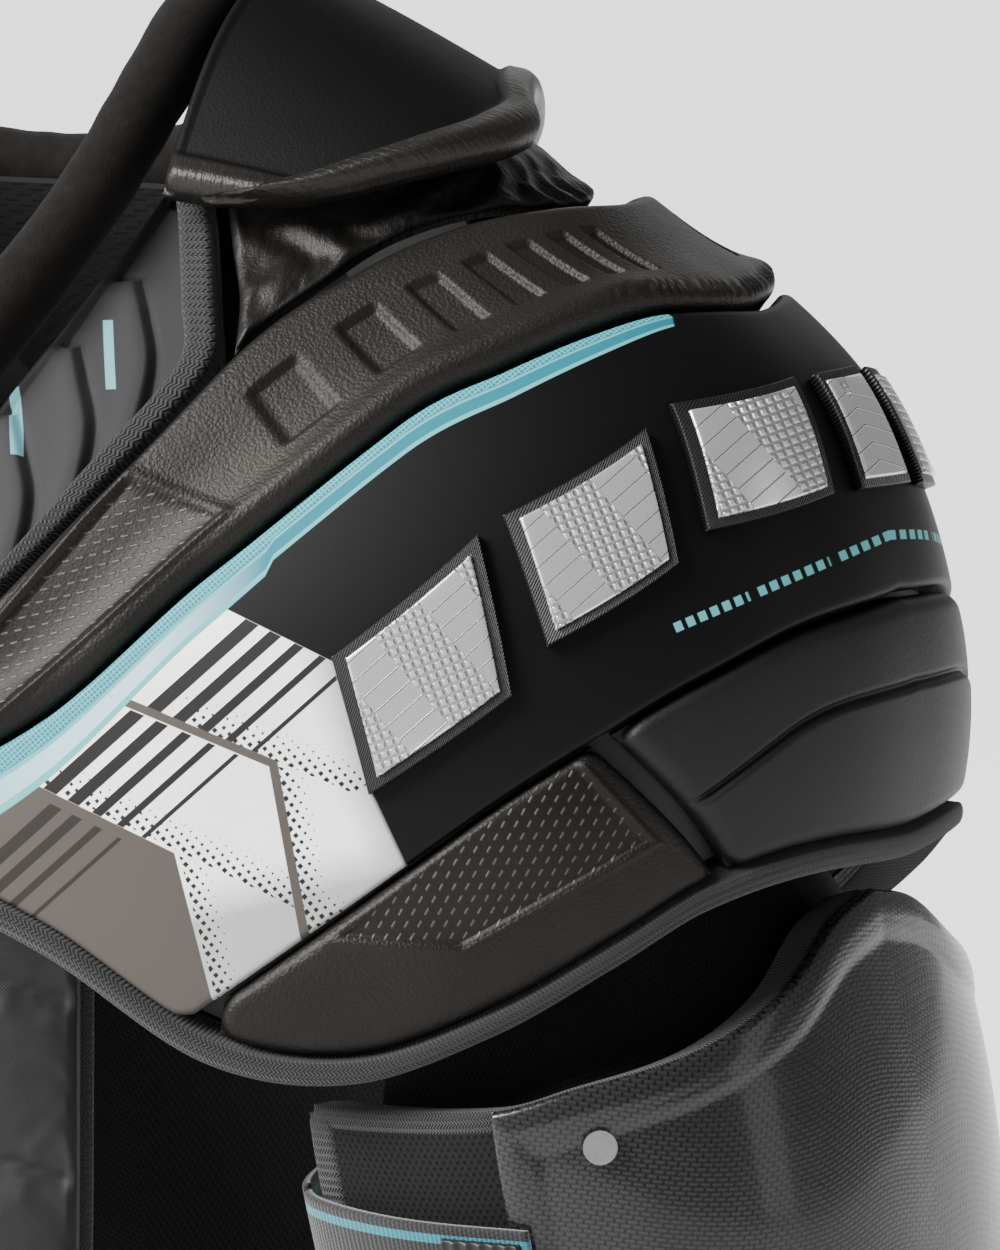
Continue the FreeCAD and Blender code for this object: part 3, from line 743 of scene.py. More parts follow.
def knit(name, thread, dark, light, tilt=1.0):
    """Herringbone knit tape: slanting stitches in columns along the strip."""
    p = Paint(name)
    x, y = p.uv("mm")
    column = y.saw(thread * 2) - 0.5
    zig = column.do("ABSOLUTE") * thread * 2.2 * tilt
    stitch = (x + zig).wave(thread) * 0.5 + 0.5
    gap = column.do("ABSOLUTE").over(0.43, 0.06)
    relief = stitch * (gap * -0.6 + 1.0)
    fuzz = p.noise(0.0004, 2.0)
    p.bump(relief + fuzz * 0.3, thread * 0.32)
    p.set(Base_Color=p.mix(dark, light, relief * 0.75 + fuzz * 0.25), Roughness=0.82)
    p.set(Sheen_Weight=0.12, Sheen_Roughness=0.5)
    return p.material


TICK = ((51.9, -54.5), (53.3, -72.1))
TICK_STEP = (-21.8, -18.0)


def lycra(name, ticks):
    """Charcoal stretch cloth with a fine slanting twill and a number of teal marks."""
    p = Paint(name)
    x, y = p.uv("plan")
    twill = (x * 0.9 + y).wave(0.62) * 0.5 + 0.5
    cross = (x - y * 0.25).wave(0.5) * 0.5 + 0.5
    p.bump(twill + cross * 0.4, 0.05)
    color = p.mix((0.0025, 0.0025, 0.003), (0.0095, 0.0095, 0.011), twill * 0.6 + p.noise(0.03) * 0.5)
    for number in range(ticks):
        (ax, ay), (bx, by) = ((k[0] + number * TICK_STEP[0], k[1] + number * TICK_STEP[1]) for k in TICK)
        mark = line_side(x, y, (ax, ay), (bx, by)).do("ABSOLUTE").under(1.25) * y.within(by, ay)
        color = p.mix(color, (0.11, 0.30, 0.33), mark)
    p.set(Base_Color=color, Roughness=0.62, Sheen_Weight=0.12, Sheen_Roughness=0.4)
    return p.material


def brushed_cloth():
    p = Paint("brushed_cloth")
    nap = p.noise(0.004, 4.0, 0.7)
    fine = p.noise(0.0006, 2.0)
    p.bump(nap * 0.6 + fine * 0.5, 0.35)
    p.set(Base_Color=p.mix((0.002, 0.0018, 0.0016), (0.010, 0.0083, 0.007), nap * nap * 1.2 + fine * 0.2))
    p.set(Roughness=0.9, Sheen_Weight=0.05, Sheen_Roughness=0.45, Specular_IOR_Level=0.1)
    return p.material


def mesh_cloth():
    """Warp-knitted spacer mesh: rows of small holes, each row half a step along from the last."""
    p = Paint("mesh_cloth")
    x, y = p.uv("mm")
    across = (x / 2.1 + y.cell(1.5) * 0.5).saw(1.0) - 0.5
    down = y.saw(1.5) - 0.5
    hole = (across * across + down * down).under(0.085, 0.05)
    p.bump(hole * -1.0 + 1.0, 0.35).bump(p.noise(0.0005), 0.05)
    color = p.mix((0.005, 0.005, 0.0055), (0.001, 0.001, 0.001), hole)
    p.set(Base_Color=color, Roughness=0.85, Sheen_Weight=0.03, Specular_IOR_Level=0.15)
    return p.material


def badge_silver():
    """The raised tiles: studs on one half and brushed stripes on the other, with ribbed black sides."""
    p = Paint("badge_silver")
    x, y = p.uv("plan")
    span = 24.0
    run = x * 0.75 + y * 0.66
    studs = (run - run.cell(span) * span).under(13.0, 0.1)
    sx, sy = (x * 0.93 + y * 0.36).saw(2.1), (y * 0.93 - x * 0.36).saw(2.1)
    stud = sx.within(0.2, 0.8, 0.2) * sy.within(0.2, 0.8, 0.2)
    thin = across_slant(x, y).saw(4.2).within(0.46, 0.54, 0.03) * invert(studs)
    p.bump(stud * studs, 0.55).bump(thin, 0.12).bump(p.noise(0.0005), 0.03)
    base = p.mix((0.60, 0.60, 0.59), (0.34, 0.34, 0.34), studs * invert(stud))
    base = p.mix(base, SILVER_SHADE, thin)
    p.set(Base_Color=base, Metallic=0.75, Roughness=studs * 0.08 + 0.27)
    return p.material


def ribbed_black():
    p = Paint("ribbed_black")
    x, y = p.uv("mm")
    rib = (x + y).wave(0.9) * 0.5 + 0.5
    p.bump(rib, 0.22)
    p.set(Base_Color=p.mix((0.0015, 0.0015, 0.0015), (0.009, 0.009, 0.009), rib), Roughness=0.36)
    return p.material


def carbon():
    """Gloss plastic over a woven pattern of short slanting bundles."""
    p = Paint("carbon")
    x, y = p.uv("mm")
    a, b = x * 0.94 + y * 0.34, y * 0.94 - x * 0.34
    step = (b / 1.1).do("FLOOR")
    bundle = (a + step * 1.55).saw(3.1)
    along = bundle.within(0.06, 0.86, 0.12)
    thread = b.wave(1.1) * 0.5 + 0.5
    tone = along * (thread * 0.5 + 0.5) * (p.noise(0.025) * 0.9 + 0.35)
    p.bump(along * thread, 0.03).bump(p.noise(0.03), 0.35)
    p.set(Base_Color=p.mix((0.002, 0.002, 0.0024), (0.028, 0.028, 0.029), tone), Metallic=0.2)
    p.set(Roughness=along * -0.1 + 0.36, Coat_Weight=0.3, Coat_Roughness=0.1)
    return p.material


def moulded_plastic():
    p = Paint("moulded_plastic")
    fine = p.noise(0.0009, 2.0)
    p.bump(fine, 0.05)
    p.set(
        Base_Color=p.mix((0.007, 0.007, 0.008), (0.016, 0.016, 0.017), p.noise(0.04)),
        Roughness=fine * 0.15 + 0.36,
    )
    return p.material


def webbing(name, base, light, edge_color=None, half=18.0):
    """Ribbed elastic or webbing, with an optional coloured line near both edges."""
    p = Paint(name)
    x, y = p.uv("mm")
    rib = x.wave(1.3) * 0.5 + 0.5
    weft = (y + x.cell(1.3) * 0.5).wave(1.0) * 0.5 + 0.5
    p.bump(rib * 0.7 + weft * 0.4, 0.16)
    color = p.mix(base, light, rib * weft)
    if edge_color:
        edge = ((y - half).do("ABSOLUTE") - (half - 3.4)).do("ABSOLUTE").under(1.1)
        color = p.mix(color, edge_color, edge * (rib * 0.4 + 0.6))
    p.set(Base_Color=color, Roughness=0.75, Sheen_Weight=0.25)
    return p.material


def creased_bronze():
    """Bronze leather with fine creases in its rolled border and a dark, smoother middle: the middle's
    near-black colour is painted shade in the sunken middle, and the bronze's broad patches are painted
    highlight.
    """
    p = Paint("creased_bronze")
    edge, run = p.uv("edge")
    border = edge.under(11.0, 2.5)
    p.bump(p.noise(1.3, 4.0, 0.6, p.at(run, edge * 0.2)) * border, 0.5)
    grain = pebble(p, 0.8, 0.07)
    # Broad random patches lighten the bronze: painted highlight patches, mixed with the real grain.
    color = p.mix(BRONZE_DARK, BRONZE, (p.noise(0.05, 3.0) * 1.3 - 0.05).both(grain * 0.5 + 0.75))
    # The sunken middle is painted near black: painted shade; the border keeps the bronze.
    p.set(Base_Color=p.mix((0.0022, 0.002, 0.0019), color, border), Metallic=border * 0.45)
    p.set(Roughness=border * -0.2 + 0.58, Specular_IOR_Level=border * 0.3 + 0.08)
    return p.material


def hook_tape():
    p = Paint("hook_tape")
    loops = p.cells(0.0011)
    p.bump(loops, 0.4)
    p.set(
        Base_Color=p.mix((0.02, 0.02, 0.021), (0.005, 0.005, 0.0055), loops), Roughness=0.9, Sheen_Weight=0.4
    )
    return p.material


def steel():
    p = Paint("steel")
    p.bump(p.noise(0.001), 0.02)
    p.set(
        Base_Color=p.mix((0.30, 0.30, 0.31), (0.45, 0.45, 0.46), p.noise(0.002)), Metallic=1.0, Roughness=0.32
    )
    return p.material


BAND_MAT = bronze_leather("bronze_band", BAND_INSET, 14, BRONZE)
# The lower panels take the darker copy of the bronze, which is painted shade.
PANEL_MAT = bronze_leather("bronze_panel", PANEL_INSET, 60, BRONZE_SHADED)
GREY_MAT = grey_leather()
CREASED_MAT = creased_leather()
CREASED_BRONZE_MAT = creased_bronze()
PRINT_MAT = printed_leather()
BINDING_MAT = knit("herringbone_tape", 0.95, (0.003, 0.003, 0.0035), (0.024, 0.024, 0.026))
COARSE_MAT = knit("coarse_tape", 1.25, (0.003, 0.003, 0.0035), (0.022, 0.022, 0.024), 0.8)
LYCRA_MAT = lycra("lycra", 0)
MARKED_LYCRA_MAT = lycra("marked_lycra", 2)
BRUSHED_MAT = brushed_cloth()
MESH_MAT = mesh_cloth()
SILVER_MAT = badge_silver()
RIBBED_MAT = ribbed_black()
CARBON_MAT = carbon()
PLASTIC_MAT = moulded_plastic()
ELASTIC_MAT = webbing("edged_elastic", (0.004, 0.004, 0.0045), (0.016, 0.016, 0.018), TEAL_PALE)
ARM_ELASTIC_MAT = webbing("arm_elastic", (0.004, 0.004, 0.0045), (0.016, 0.016, 0.018), TEAL, 16.0)
WEBBING_MAT = webbing("plain_webbing", (0.004, 0.004, 0.0045), (0.015, 0.015, 0.017))
HOOK_MAT = hook_tape()
STEEL_MAT = steel()


def settle(piece, body, nodes=(), ends=None):
    """Put a piece on its body, or, when ends is given, only bake its place in and put it on no body."""
    if ends is None:
        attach(piece, body)
    else:
        [[c * MM for c in p] for p in ends]
        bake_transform(piece)
    if nodes:
        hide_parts(*nodes)


def mirrored(piece):
    """The copy of a left-hand piece for the wearer's right."""
    mesh = piece.data.copy()
    mesh.transform(Matrix.Diagonal((-1, 1, 1, 1)))
    mesh.flip_normals()
    mesh.name = piece.name.replace("left", "right", 1)
    twin = bpy.data.objects.new(mesh.name, mesh)
    bpy.context.scene.collection.objects.link(twin)
    return twin


def settle_pair(piece, body, nodes=(), ends=None):
    """Settle a left-hand piece and its mirrored copy; {} in a name stands for the side."""
    for word, sign, thing in (("left", 1, piece), ("right", -1, mirrored(piece))):
        bodies = body.format(word) if isinstance(body, str) else [b.format(word) for b in body]
        places = ends and [(sign * x, y, z) for x, y, z in ends]
        settle(thing, bodies, [n.format(word) for n in nodes], places)


def join(name, things):
    """Several meshes as one piece."""
    first = things[0]
    with bpy.context.temp_override(active_object=first, selected_editable_objects=things):
        bpy.ops.object.join()
    first.name = name
    first.data.name = name
    return first


def coordinates(mesh):
    found = np.empty(len(mesh.vertices) * 3, np.float32)
    mesh.vertices.foreach_get("co", found)
    return found.reshape(-1, 3)


def from_edge(g):
    """How far each point of a panel's grid is from its nearest edge."""
    return np.minimum(
        np.minimum(g["across"], g["wide"] - g["across"]), np.minimum(g["down"], g["tall"] - g["down"])
    )


def firm(piece, seams=None):
    """How firmly each point of a panel is held: its inner face, its edges and its seams fully."""
    g = grids_of[piece.name]
    outer = 1 - step_up(from_edge(g), 2.0, 2.0)
    if seams is not None:
        outer = np.maximum(outer, 1 - step_up(seams(g), 1.4, 1.6))
    return np.concatenate([outer.ravel(), np.ones(outer.size)])


def swell(piece, hold, cap, pressure=4.0, grow=0.03):
    """Fill a padded piece out by cloth simulation.

    hold is how firmly each point stays, from 0 to 1; cap is the furthest that any point moves, in
    millimetres; grow is how much larger the cloth is cut than the shape that it covers.
    """
    group = piece.vertex_groups.new(name="hold")
    levels = np.round(hold * 10) / 10
    for level in np.unique(levels[levels > 0]):
        group.add(np.flatnonzero(levels == level).tolist(), float(level), "REPLACE")
    cloth = piece.modifiers.new("swell", "CLOTH")
    cloth.settings.vertex_group_mass = "hold"
    cloth.settings.use_pressure = True
    cloth.settings.uniform_pressure_force = pressure
    cloth.settings.shrink_min = -grow
    cloth.settings.effector_weights.gravity = 0
    cloth.settings.quality = 4
    cloth.point_cache.frame_start = 1
    cloth.point_cache.frame_end = SIM_FRAMES
    for number in range(1, SIM_FRAMES + 1):
        bpy.context.scene.frame_set(number)
    rest = coordinates(piece.data)
    shaped = piece.evaluated_get(bpy.context.evaluated_depsgraph_get()).data
    moved = coordinates(shaped) - rest
    far = np.maximum(np.linalg.norm(moved, axis=1, keepdims=True), 1e-9)
    moved *= cap * MM * np.tanh(far / (cap * MM)) / far
    piece.modifiers.clear()
    piece.vertex_groups.clear()
    piece.data.vertices.foreach_set("co", (rest + moved).ravel())
    piece.data.update()
    bpy.context.scene.frame_set(1)


def refine(piece):
    """Apply one level of subdivision."""
    piece.modifiers.new("finer", "SUBSURF").levels = 1
    shaped = piece.evaluated_get(bpy.context.evaluated_depsgraph_get())
    mesh = bpy.data.meshes.new_from_object(shaped)
    piece.modifiers.clear()
    piece.data = mesh
    mesh.name = piece.name


SIM_FRAMES = 20


# ---------------------------------------------------------------- reliefs
def step_up(x, edge, soft):
    """0 below an edge and 1 above it, smooth in between."""
    k = np.clip((x - edge) / soft + 0.5, 0, 1)
    return k * k * (3 - 2 * k)


def window(x, low, high, soft):
    """1 between two edges and 0 outside them, smooth in between."""
    return step_up(x, low, soft) * (1 - step_up(x, high, soft))


def ridge(x, middle, half):
    """A smooth bump of height 1 about a middle."""
    return np.exp(-(((x - middle) / half) ** 2))


def inside_outline(x, y, corners):
    """How far inside a convex outline, given clockwise, each point is."""
    depths = []
    for a, b in zip(corners, corners[1:] + corners[:1]):
        dx, dy = b[0] - a[0], b[1] - a[1]
        depths.append(((x - a[0]) * dy - (y - a[1]) * dx) / math.hypot(dx, dy))
    return np.minimum.reduce(depths)


# How far below and above its form's surface each layer's two faces are.
HEIGHTS = {
    "cap_tape": (-15.2, 0.6),
    "badge_block": (-1.05, 1.7),
    "badge_face": (0.6, 2.4),
    "yoke": (-24, -19),
    "gusset": (-11, -7.6),
    "epaulet": (1.2, 7.2),
    "upper_pad": (-17, -6.4),
    "upper_tape": (-13, -5.8),
    "neck_lining": (-20.6, -17.6),
    "liner": (0, 3),
    "quilt": (3.4, 11.4),
    "flap": (1, 10.4),
    "flap_hinge": (1.2, 3.0),
    "side_tape": (-0.4, 4.2),
    "flap_tape": (0.6, 11.6),
    "guard": (13.8, 16.8),
    "arm_guard": (-3, 0),
    "arm_pad": (-13.4, -3.6),
    "arm_side_tape": (-13.9, -3.0),
    "arm_top_tape": (-13.8, -3.3),
    "arm_strap": (-2.2, 0),
    "arm_strap_tab": (-0.2, 1.6),
}


# ---------------------------------------------------------------- shoulder caps
band_top = even(
    smooth([(0, -16), (20, -16), (35, -20), (47, -30), (56, -47), (64, -81), (70, -112), (76, -136)])
)
plate_top = even(
    smooth([(0, -39), (20, -38), (30, -42), (39, -50), (47, -62), (58, -98), (66, -133), (76, -160)])
)
plate_foot = even(smooth([(0, -107), (17, -111), (28, -122), (35, -134), (41, -148), (47, -167), (57, -202)]))
rim = even(
    smooth(
        [
            (0, -171),
            (16, -170),
            (26, -176),
            (33, -189),
            (40, -204),
            (48, -216),
            (56, -212),
            (65, -188),
            (76, -167),
        ]
    )
)
# Where the band, the plate and the lower panels end, and the slanting seams, in degrees round the shoulder.
CAP_END, PLATE_END, PANEL_END = 76, 70, 55.5
SEAM_TOP, SEAM_FOOT = 35, 24.5
BINDING = 6.0
GAP = 0.7
COVER_LOW = -8.6


def lower_edge(curve):
    return lambda u: np.maximum(curve(u), rim(u) + BINDING + GAP)


# The row of recesses along the band, in degrees round the shoulder.
MARK_PITCH, MARK_START, MARK_COUNT = 6.1, 14.0, 7


def band_relief(g):
    angle = np.abs(g["u"])
    height = g["down"] / g["tall"]
    roll = 1.6 * ridge(g["down"], g["tall"] - 7, 5) * step_up(angle, 18, 12)
    hollow = -1.3 * ridge(height, 0.5, 0.28)
    slant = angle + 5.0 * (height - 0.5)
    cell = np.mod(slant - MARK_START, MARK_PITCH) / MARK_PITCH
    marks = window(cell, 0.16, 0.66, 0.08) * window(height, 0.26, 0.66, 0.05)
    marks = marks * window(slant, MARK_START, MARK_START + MARK_COUNT * MARK_PITCH, 0.4)
    inset = inside_outline(g["x"], g["y"], BAND_INSET)
    border = 1.0 * ridge(inset, -1.0, 1.0) - 0.8 * step_up(inset, 0.6, 1.0)
    crease = np.sin(g["across"] / 1.1 + 2.2 * np.sin(g["across"] / 5.3) + g["down"] / 2.0)
    crease = 0.35 * crease * ridge(g["down"], g["tall"] - 4.5, 3.0) * (1 - step_up(angle, 24, 10))
    return roll + hollow - 1.5 * marks + border + crease


def crowned(g):
    """A gently domed face, lowest along the edges."""
    rise = np.sqrt(np.clip(16 * g["s"] * (1 - g["s"]) * g["w"] * (1 - g["w"]), 0, 1))
    return 2.0 * rise - 1.2


def inset_relief(g):
    depth = inside_outline(g["x"], g["y"], PANEL_INSET)
    return crowned(g) + 0.6 * ridge(depth, -0.8, 0.8) - 0.7 * step_up(depth, 0.8, 1.0)


groove_line = smooth([(0, 20.5), (8, 20), (18, 20.5), (27, 25)])


def groove_relief(g):
    line = groove_line(np.abs(g["u"]))
    return crowned(g) - 1.3 * ridge(g["down"], line, 0.9) + 0.5 * step_up(g["down"], line + 1.5, 2)


def make_caps():
    def cover(name, region, material, cells, edge, relief, high=0.0):
        piece = panel(
            f"left_{name}_cover",
            shoulder,
            shoulder.around,
            region,
            COVER_LOW,
            high,
            material,
            cells,
            edge,
            relief,
        )
        settle_pair(piece, "{}_cap", ["{}_" + name])

    band = between(-CAP_END, CAP_END, band_top, shifted(plate_top, GAP))
    cover("cap_band", band, BAND_MAT, (640, 90), 4.0, band_relief)
    plate = between(-PLATE_END, PLATE_END, shifted(plate_top, -GAP), lower_edge(shifted(plate_foot, GAP)))
    cover("cap_plate", plate, PRINT_MAT, (300, 60), 2.2, None, -1.2)
    foot = lower_edge(flat(-900.0))
    top = shifted(plate_foot, -GAP)
    front = between(-PANEL_END, (-SEAM_TOP - GAP, -SEAM_FOOT - GAP), top, foot)
    back = between((SEAM_TOP + GAP, SEAM_FOOT + GAP), PANEL_END, top, foot)
    outer = between((GAP - SEAM_TOP, GAP - SEAM_FOOT), (SEAM_TOP - GAP, SEAM_FOOT - GAP), top, foot)
    cover("cap_front_panel", front, PANEL_MAT, (200, 130), 4.5, inset_relief)
    cover("cap_back_panel", back, PANEL_MAT, (200, 130), 4.5, inset_relief)
    cover("cap_outer_panel", outer, GREY_MAT, (200, 130), 4.5, groove_relief)

    tape = between(-CAP_END, CAP_END, shifted(rim, BINDING - 0.2), rim)
    piece = panel(
        "left_cap_edge_tape",
        shoulder,
        shoulder.around,
        tape,
        *HEIGHTS["cap_tape"],
        BINDING_MAT,
        (260, 8),
        2.8,
        foot=0.5,
    )
    settle_pair(piece, "{}_cap", ["{}_cap_binding"])

    lining = between(-74, 74, shifted(band_top, -3), shifted(rim, BINDING + 0.6))

    def quilted(g):
        lines = np.minimum(
            np.abs(np.mod(g["across"] + g["down"], 34) - 17), np.abs(np.mod(g["across"] - g["down"], 34) - 17)
        )
        return -15.5 + 1.8 * ridge(lines, 0, 1.8)

    piece = panel(
        "left_cap_lining_mesh", shoulder, shoulder.around, lining, quilted, -11.7, MESH_MAT, (220, 80), 1.5
    )
    settle_pair(piece, "{}_cap", ["{}_cap_lining"])


# The raised tiles: the angle and height of each one's four corners, the two upper ones first.
BADGE_TILES = [
    ((-51, -116), (-42.8, -88), (-48.6, -147), (-40.9, -124)),
    ((-41.2, -84), (-29.8, -65), (-38.8, -113), (-29.2, -95)),
    ((-26.8, -60), (-9, -56), (-26.4, -88), (-10.5, -82)),
    ((-4, -56), (8, -56), (-5, -82), (7, -83)),
    ((12, -57), (23, -60), (11, -84), (22, -88)),
]


def tile_region(corners, margin):
    """The four-cornered region of one tile, drawn in by a share of its size."""
    a, b, c, d = (np.array(k, float) for k in corners)

    def region(s, w):
        s, w = np.broadcast_arrays(margin + (1 - 2 * margin) * s, margin + (1 - 2 * margin) * w)
        upper, lower = a + (b - a) * s[..., None], c + (d - c) * s[..., None]
        p = upper + (lower - upper) * w[..., None]
        return p[..., 0], p[..., 1]

    return region


def make_badges():
    """Each tile is a black ribbed block with a silver face a little smaller than the block."""

    def layer(name, margin, material, cells, edge):
        tiles = []
        for number, corners in enumerate(BADGE_TILES):
            region, label = tile_region(corners, margin), f"left_{name}_{number}"
            tiles.append(
                panel(label, shoulder, shoulder.around, region, *HEIGHTS[name], material, cells, edge)
            )
        return join(f"left_{name}", tiles)

    block = layer("badge_block", 0.0, RIBBED_MAT, (20, 16), 0.5)
    settle_pair(block, "{}_cap", ["{}_cap_badge"])
    face = layer("badge_face", 0.075, SILVER_MAT, (30, 24), 0.7)
    settle_pair(face, "{}_cap", ())


# ---------------------------------------------------------------- shoulder tops
def make_yoke():
    def region(s, w):
        angle = -88 + 176 * s
        narrowing = (angle / 88) ** 2
        inner, outer = 106 - 42 * narrowing, 154 - 34 * narrowing
        return inner + (outer - inner) * w, angle

    piece = panel("left_yoke_pad", shoulder, arch, region, *HEIGHTS["yoke"], LYCRA_MAT, (120, 30), 2.4)
    settle_pair(piece, "vest", ["{}_yoke"])


def make_gusset():
    """Creased leather between the vest and the cap: it is sewn to the vest above and to the cap's band below.
    """
    high = even(smooth([(0, 8), (40, 4), (56, 2)]))
    region = between((-51.5, -57), (51.5, 57), high, shifted(band_top, 5))

    def creases(g):
        fold = np.sin(g["across"] / 2.6 + 1.5 * np.sin(g["down"] / 4.0) + 2.0 * np.sin(g["across"] / 13.0))
        deep = ridge(g["w"], 0.9, 0.35)
        return 0.7 * fold * deep + 1.0 * ridge(g["w"], 0.45, 0.16)

    piece = panel(
        "left_gusset_skin",
        shoulder,
        shoulder.around,
        region,
        *HEIGHTS["gusset"],
        CREASED_MAT,
        (150, 26),
        1.6,
        creases,
    )
    swell(piece, firm(piece), 1.0, 3.0, 0.03)
    refine(piece)
    settle_pair(
        piece, ("vest", "{}_cap"), ["{}_gusset"], [(150, 0, 12), (200, 0, -14)]
    )


FREE_FRONT = [(-33, 128), (-31, 145), (-28, 157), (-24, 167), (-19, 177), (-13, 185), (-8, 187), (-4, 186)]
FREE_BACK = [(0, 180), (8, 171), (16, 164), (24, 155), (31, 143), (33, 128)]
free_edge = smooth(FREE_FRONT + FREE_BACK)
neck_edge = even(smooth([(0, 109), (33, 115)]))


def make_epaulet():
    """A flap over the top of the shoulder: a rolled border round a sunken middle."""

    def region(s, w):
        angle = -33 + 66 * s
        return neck_edge(angle) + (free_edge(angle) - neck_edge(angle)) * w, angle

    def relief(g):
        edge = np.minimum(np.minimum(g["across"], g["wide"] - g["across"]), g["tall"] - g["down"])
        return 1.6 * ridge(edge, 5.5, 4) - 2.0 * step_up(edge, 11.5, 2.5)

    piece = panel(
        "left_epaulet_flap",
        shoulder,
        arch,
        region,
        *HEIGHTS["epaulet"],
        CREASED_BRONZE_MAT,
        (180, 110),
        3.4,
        relief,
    )
    settle_pair(piece, "{}_epaulet", ["{}_epaulet"])


def make_epaulet_hinge():
    """The cloth that joins the flap's inner edge to the vest, rising from inside the collar."""

    def region(s, w):
        angle = -31 + 62 * s
        return neck_edge(angle) - 7 + 10 * w, angle

    def low(g):
        return -15 + 17.5 * g["w"]

    def high(g):
        return low(g) + 2.2

    piece = panel("left_epaulet_hinge", shoulder, arch, region, low, high, GREY_MAT, (90, 20), 1.0)
    settle_pair(piece, ("vest", "{}_epaulet"), (), [(103, 0, 34), (111, 0, 43)])


OUTER_EDGE = [
    (0, 116, -3),
    (0.12, 125, -19),
    (0.25, 134, -34),
    (0.36, 140, -49),
    (0.5, 127, -72),
    (0.75, 104, -101),
    (1, 77, -127),
]
FRONT_NECK = [
    (0, 112, -3),
    (0.12, 105, -20),
    (0.25, 99, -36),
    (0.4, 92, -53),
    (0.6, 75, -90),
    (0.8, 50, -126),
    (1, 21, -155),
]
BACK_NECK = [
    (0, 112, -3),
    (0.12, 97, -20),
    (0.25, 74, -33),
    (0.4, 46, -42),
    (0.55, 22, -58),
    (0.75, 13, -95),
    (1, 11, -150),
]
TAPE_WIDTH = 8.5


def path_of(points):
    return smooth([(k, x) for k, x, z in points]), smooth([(k, z) for k, x, z in points])


def between_paths(first, last, start=None):
    """From one path to another; start is how far before the last path the region begins, if given."""
    (x0, z0), (x1, z1) = path_of(first), path_of(last)

    def region(s, w):
        ax, az, bx, bz = x0(w), z0(w), x1(w), z1(w)
        if start is not None:
            share = 1 - start / np.maximum(np.hypot(bx - ax, bz - az), start + 0.5)
            ax, az = ax + (bx - ax) * share, az + (bz - az) * share
        return ax + (bx - ax) * s, az + (bz - az) * s

    return region


chevron_side = smooth([(-125, 47), (-101, 54), (-84.8, 59.8), (-65, 63.8), (-51, 61.4), (-43, 59.5)])
CHEVRON_TOP = -43.3
CHEVRON_STEP = (-14.2, -18.0)


def chevrons(g):
    """Stepped layers of cloth over foam, each with its corner to the outside."""
    rise = np.zeros_like(g["x"])
    for number in range(5):
        x = g["x"] - number * CHEVRON_STEP[0]
        y = g["y"] - number * CHEVRON_STEP[1]
        inside = np.minimum(CHEVRON_TOP + 0.1 * (x - 50) - y, chevron_side(y) - x)
        rise += 1.5 * step_up(inside, 1.2, 2.0) + 0.5 * ridge(inside, 4.5, 3.0) - 0.7 * ridge(inside, 0, 0.9)
    return np.minimum(rise, 6.0) - 5.5


def make_upper_pads():
    for name, neck, face in (("chest", FRONT_NECK, upper_front), ("back", BACK_NECK, upper_back)):
        region = between_paths(neck, OUTER_EDGE)
        piece = panel(
            f"left_upper_{name}_cloth",
            shoulder,
            face,
            region,
            *HEIGHTS["upper_pad"],
            MARKED_LYCRA_MAT,
            (150, 230),
            3.0,
            chevrons,
        )
        settle_pair(piece, "vest", ["{}_upper_" + name + "_pad"])
        edge = between_paths(neck, OUTER_EDGE, TAPE_WIDTH)
        piece = panel(
            f"left_upper_{name}_tape",
            shoulder,
            face,
            edge,
            *HEIGHTS["upper_tape"],
            COARSE_MAT,
            (14, 220),
            2.4,
        )
        settle_pair(piece, "vest", ())


COLLAR = [
    (6, -128, -152),
    (24, -126, -137),
    (47, -121, -112),
    (66, -109, -82),
    (78, -94, -55),
    (87, -77, -34),
    (94, -60, -14),
    (98, -41, 8),
    (98, -20, 25),
    (97, 2, 31),
    (93, 26, 22),
    (80, 47, 4),
    (50, 62, -14),
]


def make_neck_lining():
    """Cloth that closes the back of the neck below the collar, behind the upper back pads' inner edges."""
    edge = smooth([(-150, 19), (-95, 22), (-58, 34), (-42, 60), (-33, 84), (-20, 104), (-12, 108)])

    def region(s, w):
        z = -12 - 138 * w
        return (2 * s - 1) * edge(z), z

    piece = panel(
        "neck_lining", shoulder, upper_back, region, *HEIGHTS["neck_lining"], MESH_MAT, (110, 90), 1.2
    )
    settle(piece, "vest", ())


def make_collar():
    whole = np.array(COLLAR + [(0, 67, -20)] + [(-x, y, z) for x, y, z in reversed(COLLAR)], float)
    run = np.concatenate([[0], np.cumsum(np.linalg.norm(np.diff(whole, axis=0), axis=1))])
    along = np.linspace(0, run[-1], 420)
    centre = np.stack([smooth(list(zip(run, whole[:, k])))(along) for k in range(3)], -1)
    ripple = 0.12 * np.sin(along / 3.1 + 2 * np.sin(along / 11)) + 0.2 * np.sin(along / 17.0)
    end = np.minimum(along, run[-1] - along)
    radius = (9 + ripple) * np.sqrt(np.clip(1 - (1 - np.clip(end / 5, 0, 1)) ** 2, 0.05, 1))
    piece = tube("collar_roll", centre, radius, BRUSHED_MAT, sides=40)
    settle(piece, "vest", ["collar"])


# ---------------------------------------------------------------- chest, belly and back
chest_width = smooth([(-446, 78), (-372, 98), (-290, 104), (-200, 106), (-90, 104)])


def half_width(inner, top, bottom, margin):
    def region(s, w):
        z = top(s) + (bottom - top(s)) * w
        return inner + (chest_width(z) - margin - inner) * s, z

    return region


def whole_width(top, bottom, margin):
    def region(s, w):
        share = 2 * s - 1
        z = top(np.abs(share)) + (bottom - top(np.abs(share))) * w
        return share * (chest_width(z) - margin), z

    return region


